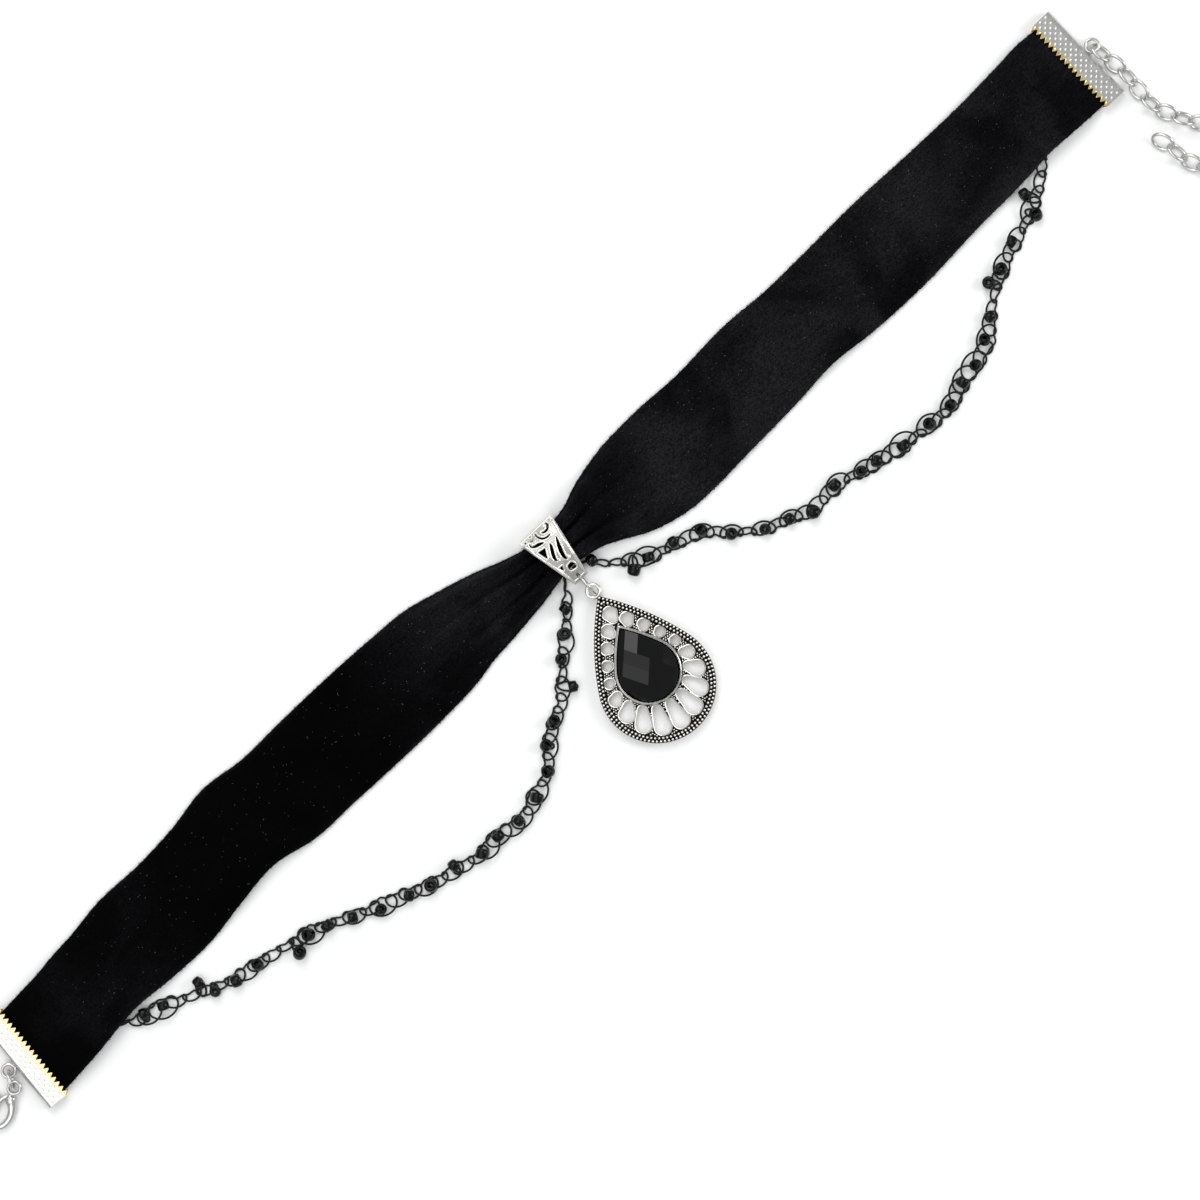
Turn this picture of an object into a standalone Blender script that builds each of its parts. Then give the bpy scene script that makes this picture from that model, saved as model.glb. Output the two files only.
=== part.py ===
"""Velvet ribbon choker with a pear pendant, laid open and flat on a surface.

The band runs along X, the pendant hangs toward -Y and the surface is Z = 0.
The origin is the middle of the bail's flat back.
"""

import math

import bmesh
import bpy
import numpy as np
from mathutils import Matrix, Vector

MM = 0.001
GAP = 0.3 * MM

# Ribbon
RIBBON_LENGTH = 327.1 * MM
RIBBON_WIDTH = 25.4 * MM
RIBBON_WALL = 1.0 * MM
RIBBON_TUCK = 4.4 * MM
BAIL_SHARE = 0.506
FOLDS = 3
FOLD_STEPS = 18

# Crimp ends
CRIMP_LENGTH = 25.2 * MM
CRIMP_DEPTH = 6.0 * MM
CRIMP_PLATE = 0.5 * MM
CRIMP_TEETH = 19
TOOTH_HEIGHT = 0.8 * MM
LEFT_TILT = math.radians(-4.5)
CRIMP_LOOP = 1.5 * MM
LOOP_WIRE = 0.8 * MM
LOOP_OUT = CRIMP_LOOP + LOOP_WIRE / 2 - CRIMP_PLATE / 2

# Rings, clasp and extender chain
RING_WIRE = 0.8 * MM
END_RING = 2.3 * MM
PENDANT_RING = 2.9 * MM
LINK_REACH = 2.6 * MM
LINK_HALF = 1.9 * MM
LINK_COUNT = 15
LINK_ROLL = math.radians(45)
CLASP_LENGTH = 9.5 * MM
CLASP_WIDTH = 6.0 * MM
CLASP_THICK = 2.4 * MM
CLASP_WALL = 1.5 * MM
CLASP_EYE = 1.4 * MM
CLASP_TURN = math.radians(202)
EYE_TURN = math.radians(244)

# Bail
BAIL_LENGTH = 15.85 * MM
BAIL_TOP = 8.2 * MM
BAIL_HEIGHT = 7.5 * MM
BAIL_WIDE = 10.0 * MM
BAIL_NARROW = 3.8 * MM
BAIL_WALL = 0.9 * MM
BAIL_SLOT = 2.6 * MM
BAIL_BAR = 0.75 * MM

# Pendant
PEAR_LENGTH = 38.0 * MM
PEAR_WIDTH = 27.2 * MM
PEAR_SIDE = 64.0 * MM
PEAR_TURN = math.radians(9.7)
RIM_WIDTH = 1.5 * MM
RIM_HEIGHT = 2.2 * MM
PLATE_THICK = 1.3 * MM
PETALS = 18
PETAL_RIB = 1.0 * MM
PETAL_EDGE = 0.15 * MM
PENDANT_LOOP = 1.5 * MM
STONE_LENGTH = 18.5 * MM
STONE_WIDTH = 14.0 * MM
STONE_SIDE = 45.0 * MM
STONE_TIP = 9.2 * MM
STONE_GIRDLE = 1.7 * MM
STONE_CROWN = 2.8 * MM
FACET = 3.1 * MM
BEZEL_WALL = 0.5 * MM
BEZEL_HEIGHT = 3.4 * MM

# Beaded strings
THREAD = 1.0 * MM
BEAD_STRING = 2.6 * MM
STRING_STEP = 2.5 * MM
STRING_FALL = 2.2 * MM
BARE_AT_BAIL = 8.0 * MM
BARE_AT_CRIMP = 15.0 * MM
BARE_TAPER = 4.0 * MM

# Sections of the ribbon from the left crimp to the right one. along is a share of RIBBON_LENGTH;
# middle, width and the lifts of the lower and upper edge are shares of RIBBON_WIDTH; fold is how
# much of the lost width goes into the folds; seat is a share of the height at which the crimps,
# or in the middle the bail, carry the band.
RIBBON_SECTIONS = [
    # along, middle, width, fold, low, up, seat
    (0.000, 0.030, 0.905, 0.0, 0.000, 0.000, 1.00),
    (0.018, 0.045, 0.900, 0.0, 0.053, 0.002, 1.00),
    (0.035, 0.061, 0.892, 0.0, 0.077, 0.002, 0.90),
    (0.053, 0.090, 0.888, 0.0, 0.091, 0.001, 0.60),
    (0.070, 0.109, 0.880, 0.0, 0.077, 0.000, 0.25),
    (0.105, 0.122, 0.960, 0.0, 0.025, 0.000, 0.00),
    (0.141, 0.115, 0.955, 0.0, 0.000, 0.000, 0.00),
    (0.176, 0.161, 0.920, 0.0, 0.050, 0.000, 0.00),
    (0.211, 0.217, 0.942, 0.0, 0.060, 0.000, 0.00),
    (0.246, 0.149, 0.978, 0.0, 0.010, 0.000, 0.00),
    (0.281, 0.150, 0.990, 0.0, 0.000, 0.000, 0.00),
    (0.316, 0.145, 1.000, 0.0, 0.000, 0.000, 0.00),
    (0.369, 0.136, 0.978, 0.5, 0.000, 0.000, 0.00),
    (0.404, 0.131, 0.915, 1.0, 0.000, 0.000, 0.00),
    (0.422, 0.122, 0.815, 1.0, 0.000, 0.000, 0.00),
    (0.440, 0.100, 0.734, 1.0, 0.000, 0.000, 0.00),
    (0.457, 0.077, 0.643, 1.0, 0.000, 0.000, 0.25),
    (0.475, 0.046, 0.530, 1.0, 0.000, 0.000, 0.64),
    (0.492, 0.036, 0.430, 1.0, 0.000, 0.000, 1.00),
    (0.506, 0.045, 0.398, 1.0, 0.000, 0.000, 1.00),
    (0.520, 0.040, 0.440, 1.0, 0.000, 0.000, 1.00),
    (0.532, 0.036, 0.500, 1.0, 0.000, 0.000, 0.93),
    (0.545, 0.029, 0.639, 1.0, 0.000, 0.000, 0.64),
    (0.563, -0.002, 0.820, 1.0, 0.000, 0.000, 0.25),
    (0.580, -0.020, 0.928, 1.0, 0.000, 0.000, 0.00),
    (0.598, -0.034, 0.985, 0.5, 0.000, 0.000, 0.00),
    (0.615, -0.036, 0.996, 0.0, 0.000, 0.000, 0.00),
    (0.650, -0.036, 0.960, 0.0, 0.012, 0.000, 0.00),
    (0.703, -0.009, 0.960, 0.0, 0.000, 0.000, 0.00),
    (0.738, -0.007, 0.901, 0.0, 0.035, 0.000, 0.00),
    (0.774, -0.025, 0.946, 0.0, 0.010, 0.000, 0.00),
    (0.826, -0.023, 0.974, 0.0, 0.000, 0.000, 0.00),
    (0.879, -0.011, 0.920, 0.0, 0.020, 0.000, 0.00),
    (0.914, -0.007, 0.905, 0.0, 0.028, 0.000, 0.38),
    (0.932, 0.000, 0.895, 0.0, 0.064, 0.000, 0.50),
    (0.949, 0.014, 0.887, 0.0, 0.080, 0.000, 0.63),
    (0.967, 0.016, 0.905, 0.0, 0.072, 0.000, 0.89),
    (0.985, 0.018, 0.930, 0.0, 0.053, 0.002, 1.00),
    (1.000, 0.010, 0.920, 0.0, 0.000, 0.000, 1.00),
]

# Side view of the bail. along is a share of BAIL_LENGTH down from its top fold, up is a share of
# BAIL_HEIGHT; the first and last two rows are its solid lower end.
BAIL_PROFILE = [
    # along, up
    (1.000, 0.400),
    (0.990, 0.490),
    (0.880, 0.665),
    (0.765, 0.800),
    (0.640, 0.915),
    (0.450, 1.000),
    (0.245, 1.000),
    (0.090, 0.865),
    (0.010, 0.610),
    (0.000, 0.480),
    (0.012, 0.240),
    (0.045, 0.075),
    (0.095, 0.000),
    (0.850, 0.000),
    (0.900, 0.090),
    (0.938, 0.250),
    (0.977, 0.372),
]

# Openings of the bail's front, each a stroke. across is a share of half of BAIL_WIDE, along a
# share of BAIL_LENGTH down from the top fold, half a share of BAIL_WALL.
BAIL_OPENINGS = {
    "crescent": [(-0.07, 0.050, 0.10), (-0.17, 0.100, 0.24), (-0.05, 0.190, 0.28), (0.25, 0.225, 0.24),
                 (0.46, 0.205, 0.08)],
    "spiral": [(0.10, 0.100, 0.16), (0.20, 0.140, 0.28), (0.42, 0.140, 0.34), (0.57, 0.090, 0.40),
               (0.50, 0.045, 0.34)],
    "corner": [(-0.44, 0.030, 0.08), (-0.40, 0.045, 0.30), (-0.36, 0.060, 0.12)],
    "leaf": [(-0.80, 0.060, 0.08), (-0.75, 0.072, 0.30), (-0.70, 0.084, 0.12)],
    "scroll": [(-0.60, 0.105, 0.12), (-0.69, 0.150, 0.22), (-0.60, 0.196, 0.26), (-0.40, 0.212, 0.48),
               (-0.22, 0.230, 0.36), (-0.06, 0.252, 0.08)],
    "wedge": [(-0.50, 0.465, 0.08), (-0.47, 0.390, 0.50), (-0.43, 0.310, 1.10), (-0.42, 0.292, 1.20)],
    "fan_left": [(0.10, 0.295, 0.08), (0.02, 0.350, 0.40), (-0.16, 0.450, 0.52), (-0.27, 0.535, 0.38),
                 (-0.20, 0.590, 0.12)],
    "fan_right": [(0.54, 0.275, 0.08), (0.36, 0.380, 0.44), (0.19, 0.505, 0.60), (0.11, 0.610, 0.42),
                  (0.22, 0.662, 0.14)],
    "notch": [(-0.34, 0.745, 0.08), (-0.33, 0.700, 0.36), (-0.32, 0.655, 0.62)],
    "shield": [(0.06, 0.703, 0.55), (0.07, 0.740, 1.00), (0.07, 0.785, 1.10), (0.05, 0.828, 0.70)],
}

# Route of the beaded strings from the bail to the crimps: X and Y in millimetres, chosen by hand.
LEFT_ROUTE = [
    (-0.2, -4.55), (-1.6, -4.6), (-2.9, -5.0), (-3.9, -6.2), (-5.2, -8.2), (-7.6, -10.8),
    (-11.1, -14.0), (-15.5, -18.0),
    (-20.3, -22.4), (-22.9, -25.1), (-27.1, -27.0), (-31.8, -30.2), (-36.2, -34.2), (-42.2, -36.7),
    (-48.5, -38.4), (-54.5, -37.3), (-59.6, -37.8), (-67.5, -36.1), (-73.3, -34.8), (-78.4, -32.8),
    (-85.4, -30.3), (-91.2, -27.7), (-97.0, -25.1), (-101.5, -23.7), (-107.9, -21.8), (-114.0, -20.7),
    (-121.0, -19.3), (-129.4, -15.9), (-137.7, -12.6), (-142.6, -11.3), (-147.5, -8.6), (-153.0, -6.6),
    (-158.0, -5.6),
]
RIGHT_ROUTE = [
    (0.2, -4.55), (1.6, -4.6), (2.9, -5.0), (4.2, -6.2), (6.2, -8.4), (9.3, -10.9), (14.5, -14.4),
    (20.9, -16.5),
    (27.2, -18.6), (32.2, -23.3), (38.6, -28.3), (44.0, -30.2), (49.5, -32.6), (57.2, -32.2),
    (62.9, -33.7), (67.5, -34.8), (74.7, -36.0), (82.1, -37.0), (88.7, -37.1), (94.1, -35.0),
    (99.5, -34.0), (105.1, -32.1), (109.3, -28.9), (113.0, -26.2), (118.6, -22.7), (125.1, -20.2),
    (130.2, -18.6), (135.0, -16.6), (138.4, -14.6), (142.3, -11.7), (146.6, -9.2), (151.5, -7.4),
    (156.0, -6.4),
]
# Route of the extender chain: X and Y in millimetres from the right crimp's loop, chosen by hand.
CHAIN_ROUTE = [
    (0.7, -2.9), (0.7, -6.5), (1.4, -10.8), (0.7, -14.5), (0.5, -18.8), (1.8, -22.9),
    (3.4, -26.5), (6.0, -30.1), (8.0, -34.3), (6.8, -38.5), (3.0, -40.1), (-0.6, -38.3),
    (-2.3, -34.5), (-2.7, -30.7), (-3.4, -27.1), (-4.8, -23.3), (-6.3, -19.5), (-8.3, -15.9),
]

# Places worked out from the sizes
BAIL_X = RIBBON_LENGTH * BAIL_SHARE
LEFT_TEETH = -BAIL_X
RIGHT_TEETH = RIBBON_LENGTH - BAIL_X
CRIMP_HEIGHT = 2 * CRIMP_PLATE + RIBBON_WALL + 2 * GAP
CRIMP_LIFT = CRIMP_PLATE + GAP
BAIL_LIFT = BAIL_WALL + GAP
BAIL_END = BAIL_TOP - BAIL_LENGTH
SLOT_LOW = BAIL_END + BAIL_BAR
RING_RADIUS = RING_WIRE / 2
LINK_UP = LINK_HALF * math.sin(LINK_ROLL) + RING_RADIUS
BAR_UP = PENDANT_RING + RING_RADIUS
RING_Y = SLOT_LOW + GAP + RING_RADIUS - PENDANT_RING
LOOP_UP = RING_WIRE + GAP + LOOP_WIRE / 2 + PENDANT_LOOP * 0.1
RING_DROP = math.sqrt(PENDANT_RING**2 - (BAR_UP - LOOP_UP) ** 2)
LOOP_Y = RING_Y - RING_DROP
PEAR_TIP = Vector((0, LOOP_Y - PENDANT_LOOP, 0))


def new_material(name, colour, roughness, metallic):
    material = bpy.data.materials.new(name)
    material.use_nodes = True
    shader = material.node_tree.nodes["Principled BSDF"]
    shader.inputs["Base Color"].default_value = (*colour, 1)
    shader.inputs["Roughness"].default_value = roughness
    shader.inputs["Metallic"].default_value = metallic
    return material


def add_object(name, mesh, collection, material=None):
    obj = bpy.data.objects.new(name, mesh)
    collection.objects.link(obj)
    if material:
        mesh.materials.append(material)
    return obj


def finish_mesh(name, bm, smooth=None):
    """Turns a bmesh into a mesh with outward faces, shaded smooth below an angle."""
    bmesh.ops.recalc_face_normals(bm, faces=bm.faces)
    mesh = bpy.data.meshes.new(name)
    bm.to_mesh(mesh)
    bm.free()
    if smooth:
        mesh.shade_smooth()
        mesh.set_sharp_from_angle(angle=smooth)
    return mesh


def as_cutter(name, mesh):
    obj = add_object(name, mesh, CUTTERS)
    obj.hide_render = True
    obj.display_type = "WIRE"
    return obj


def boolean(obj, other, operation):
    modifier = obj.modifiers.new(operation.title(), "BOOLEAN")
    modifier.operation = operation
    modifier.object = other
    modifier.solver = "EXACT"


def smooth_path(points, step):
    """Points a step apart on a Catmull-Rom curve through the given ones."""
    p = np.array(points, float)
    ends = np.vstack([2 * p[0] - p[1], p, 2 * p[-1] - p[-2]])
    t = np.linspace(0, 1, 16, endpoint=False)[:, None]
    pieces = []
    for i in range(len(p) - 1):
        a, b, c, d = ends[i : i + 4]
        pieces.append(0.5 * (2 * b + (c - a) * t + (2 * a - 5 * b + 4 * c - d) * t**2
                             + (3 * b - a - 3 * c + d) * t**3))
    fine = np.vstack([*pieces, p[-1:]])
    along = np.concatenate([[0], np.cumsum(np.linalg.norm(np.diff(fine, axis=0), axis=1))])
    count = max(2, round(along[-1] / step) + 1)
    at = np.linspace(0, along[-1], count)
    return np.stack([np.interp(at, along, fine[:, k]) for k in range(p.shape[1])], 1)


def loft(name, sections, closed=False, smooth=math.radians(40)):
    """A closed body through sections with the same number of points."""
    bm = bmesh.new()
    rings = [[bm.verts.new(point) for point in section] for section in sections]
    count = len(rings[0])
    last = len(rings) if closed else len(rings) - 1
    for i in range(last):
        a, b = rings[i], rings[(i + 1) % len(rings)]
        for j in range(count):
            bm.faces.new((a[j], a[(j + 1) % count], b[(j + 1) % count], b[j]))
    if not closed:
        bm.faces.new(rings[0])
        bm.faces.new(rings[-1])
    return finish_mesh(name, bm, smooth)


def prism(name, outline, low, high):
    """A flat outline in X and Y raised from low to high."""
    sections = [[(x, y, z) for x, y in outline] for z in (low, high)]
    return loft(name, sections, smooth=None)


def torus(name, across, half, wire, steps=14, sides=6):
    """A ring in the XY plane: an oval with straight sides when across is more than half."""
    straight = across - half
    sections = []
    for i in range(steps):
        turn = 2 * math.pi * (i + 0.5) / steps
        out = Vector((math.cos(turn), math.sin(turn), 0))
        middle = out * half + Vector((math.copysign(straight, out.x), 0, 0))
        sections.append([middle + wire / 2 * (math.cos(a) * out + math.sin(a) * Vector((0, 0, 1)))
                         for a in np.linspace(0, 2 * math.pi, sides, endpoint=False)])
    return loft(name, sections, closed=True, smooth=math.radians(80))


def fold_angle(share):
    """The swing of a wave whose width is the given share of its length along the cloth."""
    phase = (np.arange(64) + 0.5) / 64 * math.pi
    low, high = 0.0, 2.2
    for _ in range(30):
        middle = (low + high) / 2
        if np.mean(np.cos(middle * np.sin(phase))) > share:
            low = middle
        else:
            high = middle
    return low


def ribbon_section(x, centre, width, fold, low, up, shear):
    """One closed section: a waved strip of cloth with its wall on both sides."""
    cloth = width + fold * (RIBBON_WIDTH - width)
    swing = fold_angle(min(1.0, width / cloth))
    u = np.linspace(0, 1, FOLD_STEPS * 8 + 1)
    slope = swing * np.sin(2 * math.pi * FOLDS * (u[1:] + u[:-1]) / 2)
    ds = cloth / (len(u) - 1)
    across = np.concatenate([[0], np.cumsum(np.cos(slope))]) * ds
    height = np.concatenate([[0], np.cumsum(np.sin(slope))]) * ds
    across *= width / across[-1]
    angle = swing * np.sin(2 * math.pi * FOLDS * u)
    keep = slice(None, None, 8)
    across, height, angle = across[keep], height[keep], angle[keep]
    y = centre - width / 2 + across
    base = low + (up - low) * across / width + height
    normal = np.stack([-np.sin(angle), np.cos(angle)], 1) * RIBBON_WALL / 2
    upper = np.stack([y, base + RIBBON_WALL / 2], 1) + normal
    lower = np.stack([y, base + RIBBON_WALL / 2], 1) - normal
    outline = np.vstack([lower, upper[::-1]])
    return [(x + shear * (py - centre), py, pz) for py, pz in outline]


def ribbon():
    """The velvet band: laid flat, gathered into folds where it passes through the bail."""
    rows = np.array(RIBBON_SECTIONS)
    tuck = RIBBON_TUCK / RIBBON_LENGTH
    first, last = rows[0].copy(), rows[-1].copy()
    first[0], last[0] = -tuck, 1 + tuck
    rows = np.vstack([first, rows, last])
    sections = []
    for along, middle, width, fold, low, up, seat in rows:
        x = LEFT_TEETH + along * RIBBON_LENGTH
        rest = seat * (BAIL_LIFT if 0.25 < along < 0.75 else CRIMP_LIFT)
        shear = -math.tan(LEFT_TILT) * max(0.0, 1 - max(along, 0) * 12)
        sections.append(ribbon_section(x, middle * RIBBON_WIDTH, width * RIBBON_WIDTH, fold,
                                       rest + low * RIBBON_WIDTH, rest + up * RIBBON_WIDTH, shear))
    mesh = loft("ribbon", sections, smooth=math.radians(60))
    return add_object("ribbon", mesh, PARTS, VELVET)


def crimp_mesh():
    """A folded plate: fold at X = 0, open teeth toward +X, with the ribbon's room inside."""
    outer, inner = CRIMP_HEIGHT / 2, CRIMP_HEIGHT / 2 - CRIMP_PLATE
    turns = np.linspace(math.pi / 2, 3 * math.pi / 2, 9)
    outside = [(outer + outer * math.cos(a), outer + outer * math.sin(a)) for a in turns]
    inside = [(outer + inner * math.cos(a), outer + inner * math.sin(a)) for a in turns[::-1]]
    profile = [(CRIMP_DEPTH, CRIMP_HEIGHT), *outside, (CRIMP_DEPTH, 0), (CRIMP_DEPTH, CRIMP_PLATE),
               *inside, (CRIMP_DEPTH, CRIMP_HEIGHT - CRIMP_PLATE)]
    sections = [[(x, y, z) for x, z in profile] for y in (-CRIMP_LENGTH / 2, CRIMP_LENGTH / 2)]
    return loft("crimp", sections)


def teeth_notches():
    """Notches between the teeth, in a row along Y."""
    bm = bmesh.new()
    pitch = CRIMP_LENGTH / CRIMP_TEETH
    mouth = pitch * 0.45
    for i in range(CRIMP_TEETH + 1):
        y = -CRIMP_LENGTH / 2 + pitch * i
        corners = [(CRIMP_DEPTH - TOOTH_HEIGHT, y), (CRIMP_DEPTH + GAP, y + mouth),
                   (CRIMP_DEPTH + GAP, y - mouth)]
        low = [bm.verts.new((cx, cy, -CRIMP_PLATE)) for cx, cy in corners]
        high = [bm.verts.new((cx, cy, CRIMP_HEIGHT + CRIMP_PLATE)) for cx, cy in corners]
        bm.faces.new(low)
        bm.faces.new(high)
        for j in range(3):
            bm.faces.new((low[j], low[(j + 1) % 3], high[(j + 1) % 3], high[j]))
    return finish_mesh("teeth_notches", bm)


def crimp(name, teeth_x, middle_y, turn):
    """A crimp end whose teeth line stands at teeth_x, with its soldered loop."""
    place = Matrix.Translation((teeth_x, middle_y, 0)) @ Matrix.Rotation(turn, 4, "Z")
    place = place @ Matrix.Translation((-CRIMP_DEPTH, 0, 0))
    loop_at = Matrix.Translation((-LOOP_OUT, 0, LINK_UP))
    obj = add_object(name, crimp_mesh(), PARTS, SILVER)
    teeth = as_cutter(name + "_teeth", teeth_notches())
    loop = as_cutter(name + "_loop", torus("loop", CRIMP_LOOP, CRIMP_LOOP, LOOP_WIRE, 14, 6))
    obj.matrix_world = teeth.matrix_world = place
    loop.matrix_world = place @ loop_at
    boolean(obj, teeth, "DIFFERENCE")
    boolean(obj, loop, "UNION")
    return (place @ loop_at).translation


def place_ring(name, mesh, centre, along, lean, material):
    """Stands a ring on the surface with its long way along a heading, leaning by an angle."""
    obj = add_object(name, mesh, PARTS, material)
    turn = Matrix.Rotation(math.atan2(along.y, along.x), 4, "Z") @ Matrix.Rotation(lean, 4, "X")
    obj.matrix_world = Matrix.Translation(centre) @ turn
    return obj


def clasp(place_of_eye, turn):
    """A closed claw clasp, one plain piece: an eye, a neck and a hook-shaped body."""
    eye = as_cutter("clasp_eye", torus("clasp_eye", CLASP_EYE, CLASP_EYE, LOOP_WIRE, 14, 6))
    start = CLASP_EYE
    steps = np.linspace(0, 2 * math.pi, 28, endpoint=False)
    half = CLASP_LENGTH / 2
    body = [(start + half - half * math.cos(a),
             CLASP_WIDTH / 2 * math.sin(a) * (0.72 + 0.28 * math.sin(a / 2) ** 2)) for a in steps]
    mouth = [(start + half * 1.12 - (half * 0.88 - CLASP_WALL) * math.cos(a),
              (CLASP_WIDTH / 2 - CLASP_WALL) * math.sin(a)) for a in steps[::2]]
    obj = add_object("clasp", prism("clasp", body, -CLASP_THICK / 2, CLASP_THICK / 2), PARTS, SILVER)
    boolean(obj, as_cutter("clasp_mouth", prism("clasp_mouth", mouth, -CLASP_THICK, CLASP_THICK)),
            "DIFFERENCE")
    boolean(obj, eye, "UNION")
    heading = Matrix.Rotation(turn, 4, "Z")
    eye.matrix_world = Matrix.Translation(place_of_eye) @ heading
    lying = Matrix.Translation((place_of_eye.x, place_of_eye.y, CLASP_THICK / 2)) @ heading
    obj.matrix_world = bpy.data.objects["clasp_mouth"].matrix_world = lying


def chain(loop):
    """Oval links along the chain's route from a loop, each turned a quarter against the last."""
    pitch = 2 * LINK_REACH - RING_WIRE - GAP
    steps = np.vstack([(0, 0), np.array(CHAIN_ROUTE) * MM])
    route = smooth_path(np.array(loop[:2]) + steps, pitch / 60)
    spots = [route[np.argmax(np.linalg.norm(route - route[0], axis=1) > (RING_WIRE + GAP) / 2)]]
    for _ in range(LINK_COUNT):
        passed = np.argmin(np.linalg.norm(route - spots[-1], axis=1))
        far = np.linalg.norm(route[passed:] - spots[-1], axis=1) >= pitch
        ahead = route[passed + np.argmax(far)] - spots[-1]
        spots.append(spots[-1] + ahead / np.linalg.norm(ahead) * pitch)
    for i in range(LINK_COUNT):
        middle = (spots[i] + spots[i + 1]) / 2
        heading = Vector(spots[i + 1] - spots[i])
        mesh = torus("link", LINK_REACH, LINK_HALF, RING_WIRE, 14, 5)
        roll = LINK_ROLL if i % 2 else -LINK_ROLL
        place_ring("chain_link_%02d" % (i + 1), mesh, (*middle, LINK_UP), heading, roll, SILVER)


def stroke_outline(points):
    """The outline of a stroke with its own half width at each point."""
    path = np.array(points)
    fine = smooth_path(path, np.linalg.norm(np.diff(path[:, :2], axis=0), axis=1).sum() / 9)
    ahead = np.gradient(fine[:, :2], axis=0)
    ahead /= np.linalg.norm(ahead, axis=1)[:, None]
    side = np.stack([-ahead[:, 1], ahead[:, 0]], 1) * fine[:, 2:3]
    left, right = fine[:, :2] + side, fine[:, :2] - side
    return np.vstack([left, right[::-1]])


def bail_half(y):
    """Half the bail's width at a place along it."""
    return (BAIL_NARROW + (BAIL_WIDE - BAIL_NARROW) * (y - BAIL_END) / BAIL_LENGTH) / 2


def bail():
    """A tapered loop bent over the ribbon, its front pierced, closed at a bar for the ring."""
    outer = np.array([(BAIL_TOP - a * BAIL_LENGTH, u * BAIL_HEIGHT) for a, u in BAIL_PROFILE])
    outer[:2, 1] += BAR_UP - 0.445 * BAIL_HEIGHT
    closed = np.vstack([outer[-1:], outer, outer[:1]])
    ahead = closed[2:] - closed[:-2]
    ahead /= np.linalg.norm(ahead, axis=1)[:, None]
    inward = np.stack([ahead[:, 1], -ahead[:, 0]], 1)
    area = np.sum(outer[:, 0] * np.roll(outer[:, 1], -1) - np.roll(outer[:, 0], -1) * outer[:, 1])
    inward = inward if area < 0 else -inward
    hollow = (outer + inward * BAIL_WALL)[2:-2]
    half = BAIL_WIDE / 2
    side = [[(x, y, z) for y, z in outer] for x in (-half, half)]
    obj = add_object("bail", loft("bail", side), PARTS, ANTIQUE)
    room = [[(x, y, z) for y, z in hollow] for x in (-BAIL_WIDE, BAIL_WIDE)]
    boolean(obj, as_cutter("bail_room", loft("bail_room", room, smooth=None)), "DIFFERENCE")
    narrow = BAIL_NARROW / 2
    plan = [(-half, BAIL_TOP - GAP), (-narrow, BAIL_END - GAP), (narrow, BAIL_END - GAP),
            (half, BAIL_TOP - GAP), (half * 0.8, BAIL_TOP + GAP), (-half * 0.8, BAIL_TOP + GAP)]
    boolean(obj, as_cutter("bail_plan", prism("bail_plan", plan, -BAIL_HEIGHT, 2 * BAIL_HEIGHT)),
            "INTERSECT")
    for name, rows in BAIL_OPENINGS.items():
        points = [(a * half, BAIL_TOP - d * BAIL_LENGTH, w * BAIL_WALL) for a, d, w in rows]
        outline = stroke_outline(points)
        cutter = as_cutter("bail_" + name, prism("bail_" + name, outline, BAR_UP, 2 * BAIL_HEIGHT))
        boolean(obj, cutter, "DIFFERENCE")
    wide = BAIL_SLOT / 2
    slot_high = SLOT_LOW + RING_WIRE + 2 * GAP
    slot = [(-wide, SLOT_LOW), (wide, SLOT_LOW), (wide, slot_high), (-wide, slot_high)]
    boolean(obj, as_cutter("bail_slot", prism("bail_slot", slot, -BAIL_HEIGHT, 2 * BAIL_HEIGHT)),
            "DIFFERENCE")


def pear(length, width, side, tip, inset, count):
    """Points of a pear outline set in by a distance, from its tip round, equally far apart.

    The round end is a circle; each flank is an arc of the side radius that touches the circle
    and passes through the tip. U runs from the pendant's tip down its axis.
    """
    r = width / 2
    reach = length - r
    cx = (reach**2 - r**2 + 2 * side * r) / (2 * reach)
    cy = math.sqrt(side**2 - cx**2)
    flank, round_end = side - inset, r - inset
    start = math.asin(cy / flank)
    touch = math.atan2(cy, reach - cx)
    turns = np.linspace(math.pi - start, touch, 60)
    arc = np.stack([cx + flank * np.cos(turns), -cy + flank * np.sin(turns)], 1)
    ends = np.linspace(touch, 0, 40)[1:]
    cap = np.stack([reach + round_end * np.cos(ends), round_end * np.sin(ends)], 1)
    half = np.vstack([arc, cap])
    whole = np.vstack([half, half[-2:0:-1] * (1, -1), half[:1]])
    along = np.concatenate([[0], np.cumsum(np.linalg.norm(np.diff(whole, axis=0), axis=1))])
    at = np.linspace(0, along[-1], count, endpoint=False)
    points = np.stack([np.interp(at, along, whole[:, k]) for k in (0, 1)], 1)
    return points + (tip, 0)


def outer_pear(inset, count):
    return pear(PEAR_LENGTH, PEAR_WIDTH, PEAR_SIDE, 0, inset, count)


def stone_pear(inset, count):
    return pear(STONE_LENGTH, STONE_WIDTH, STONE_SIDE, STONE_TIP, inset, count)


def pear_ring(name, outline, profile, count):
    """A closed band along a pear: profile rows are inset and height."""
    rings = [np.column_stack([outline(inset, count), np.full(count, height)])
             for inset, height in profile]
    sections = [[ring[i] for ring in rings] for i in range(count)]
    return loft(name, sections, closed=True, smooth=math.radians(30))


def petal(inner, outer, half_in, half_out):
    """A rounded opening that widens outward: two end arcs joined by straight sides."""
    ahead = outer - inner
    turn = math.atan2(ahead[1], ahead[0])
    arcs = [(outer, half_out, np.linspace(-1.5, 1.5, 7)), (inner, half_in, np.linspace(1.6, 4.7, 5))]
    return [centre + half * np.array([math.cos(turn + a), math.sin(turn + a)])
            for centre, half, angles in arcs for a in angles]


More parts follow.
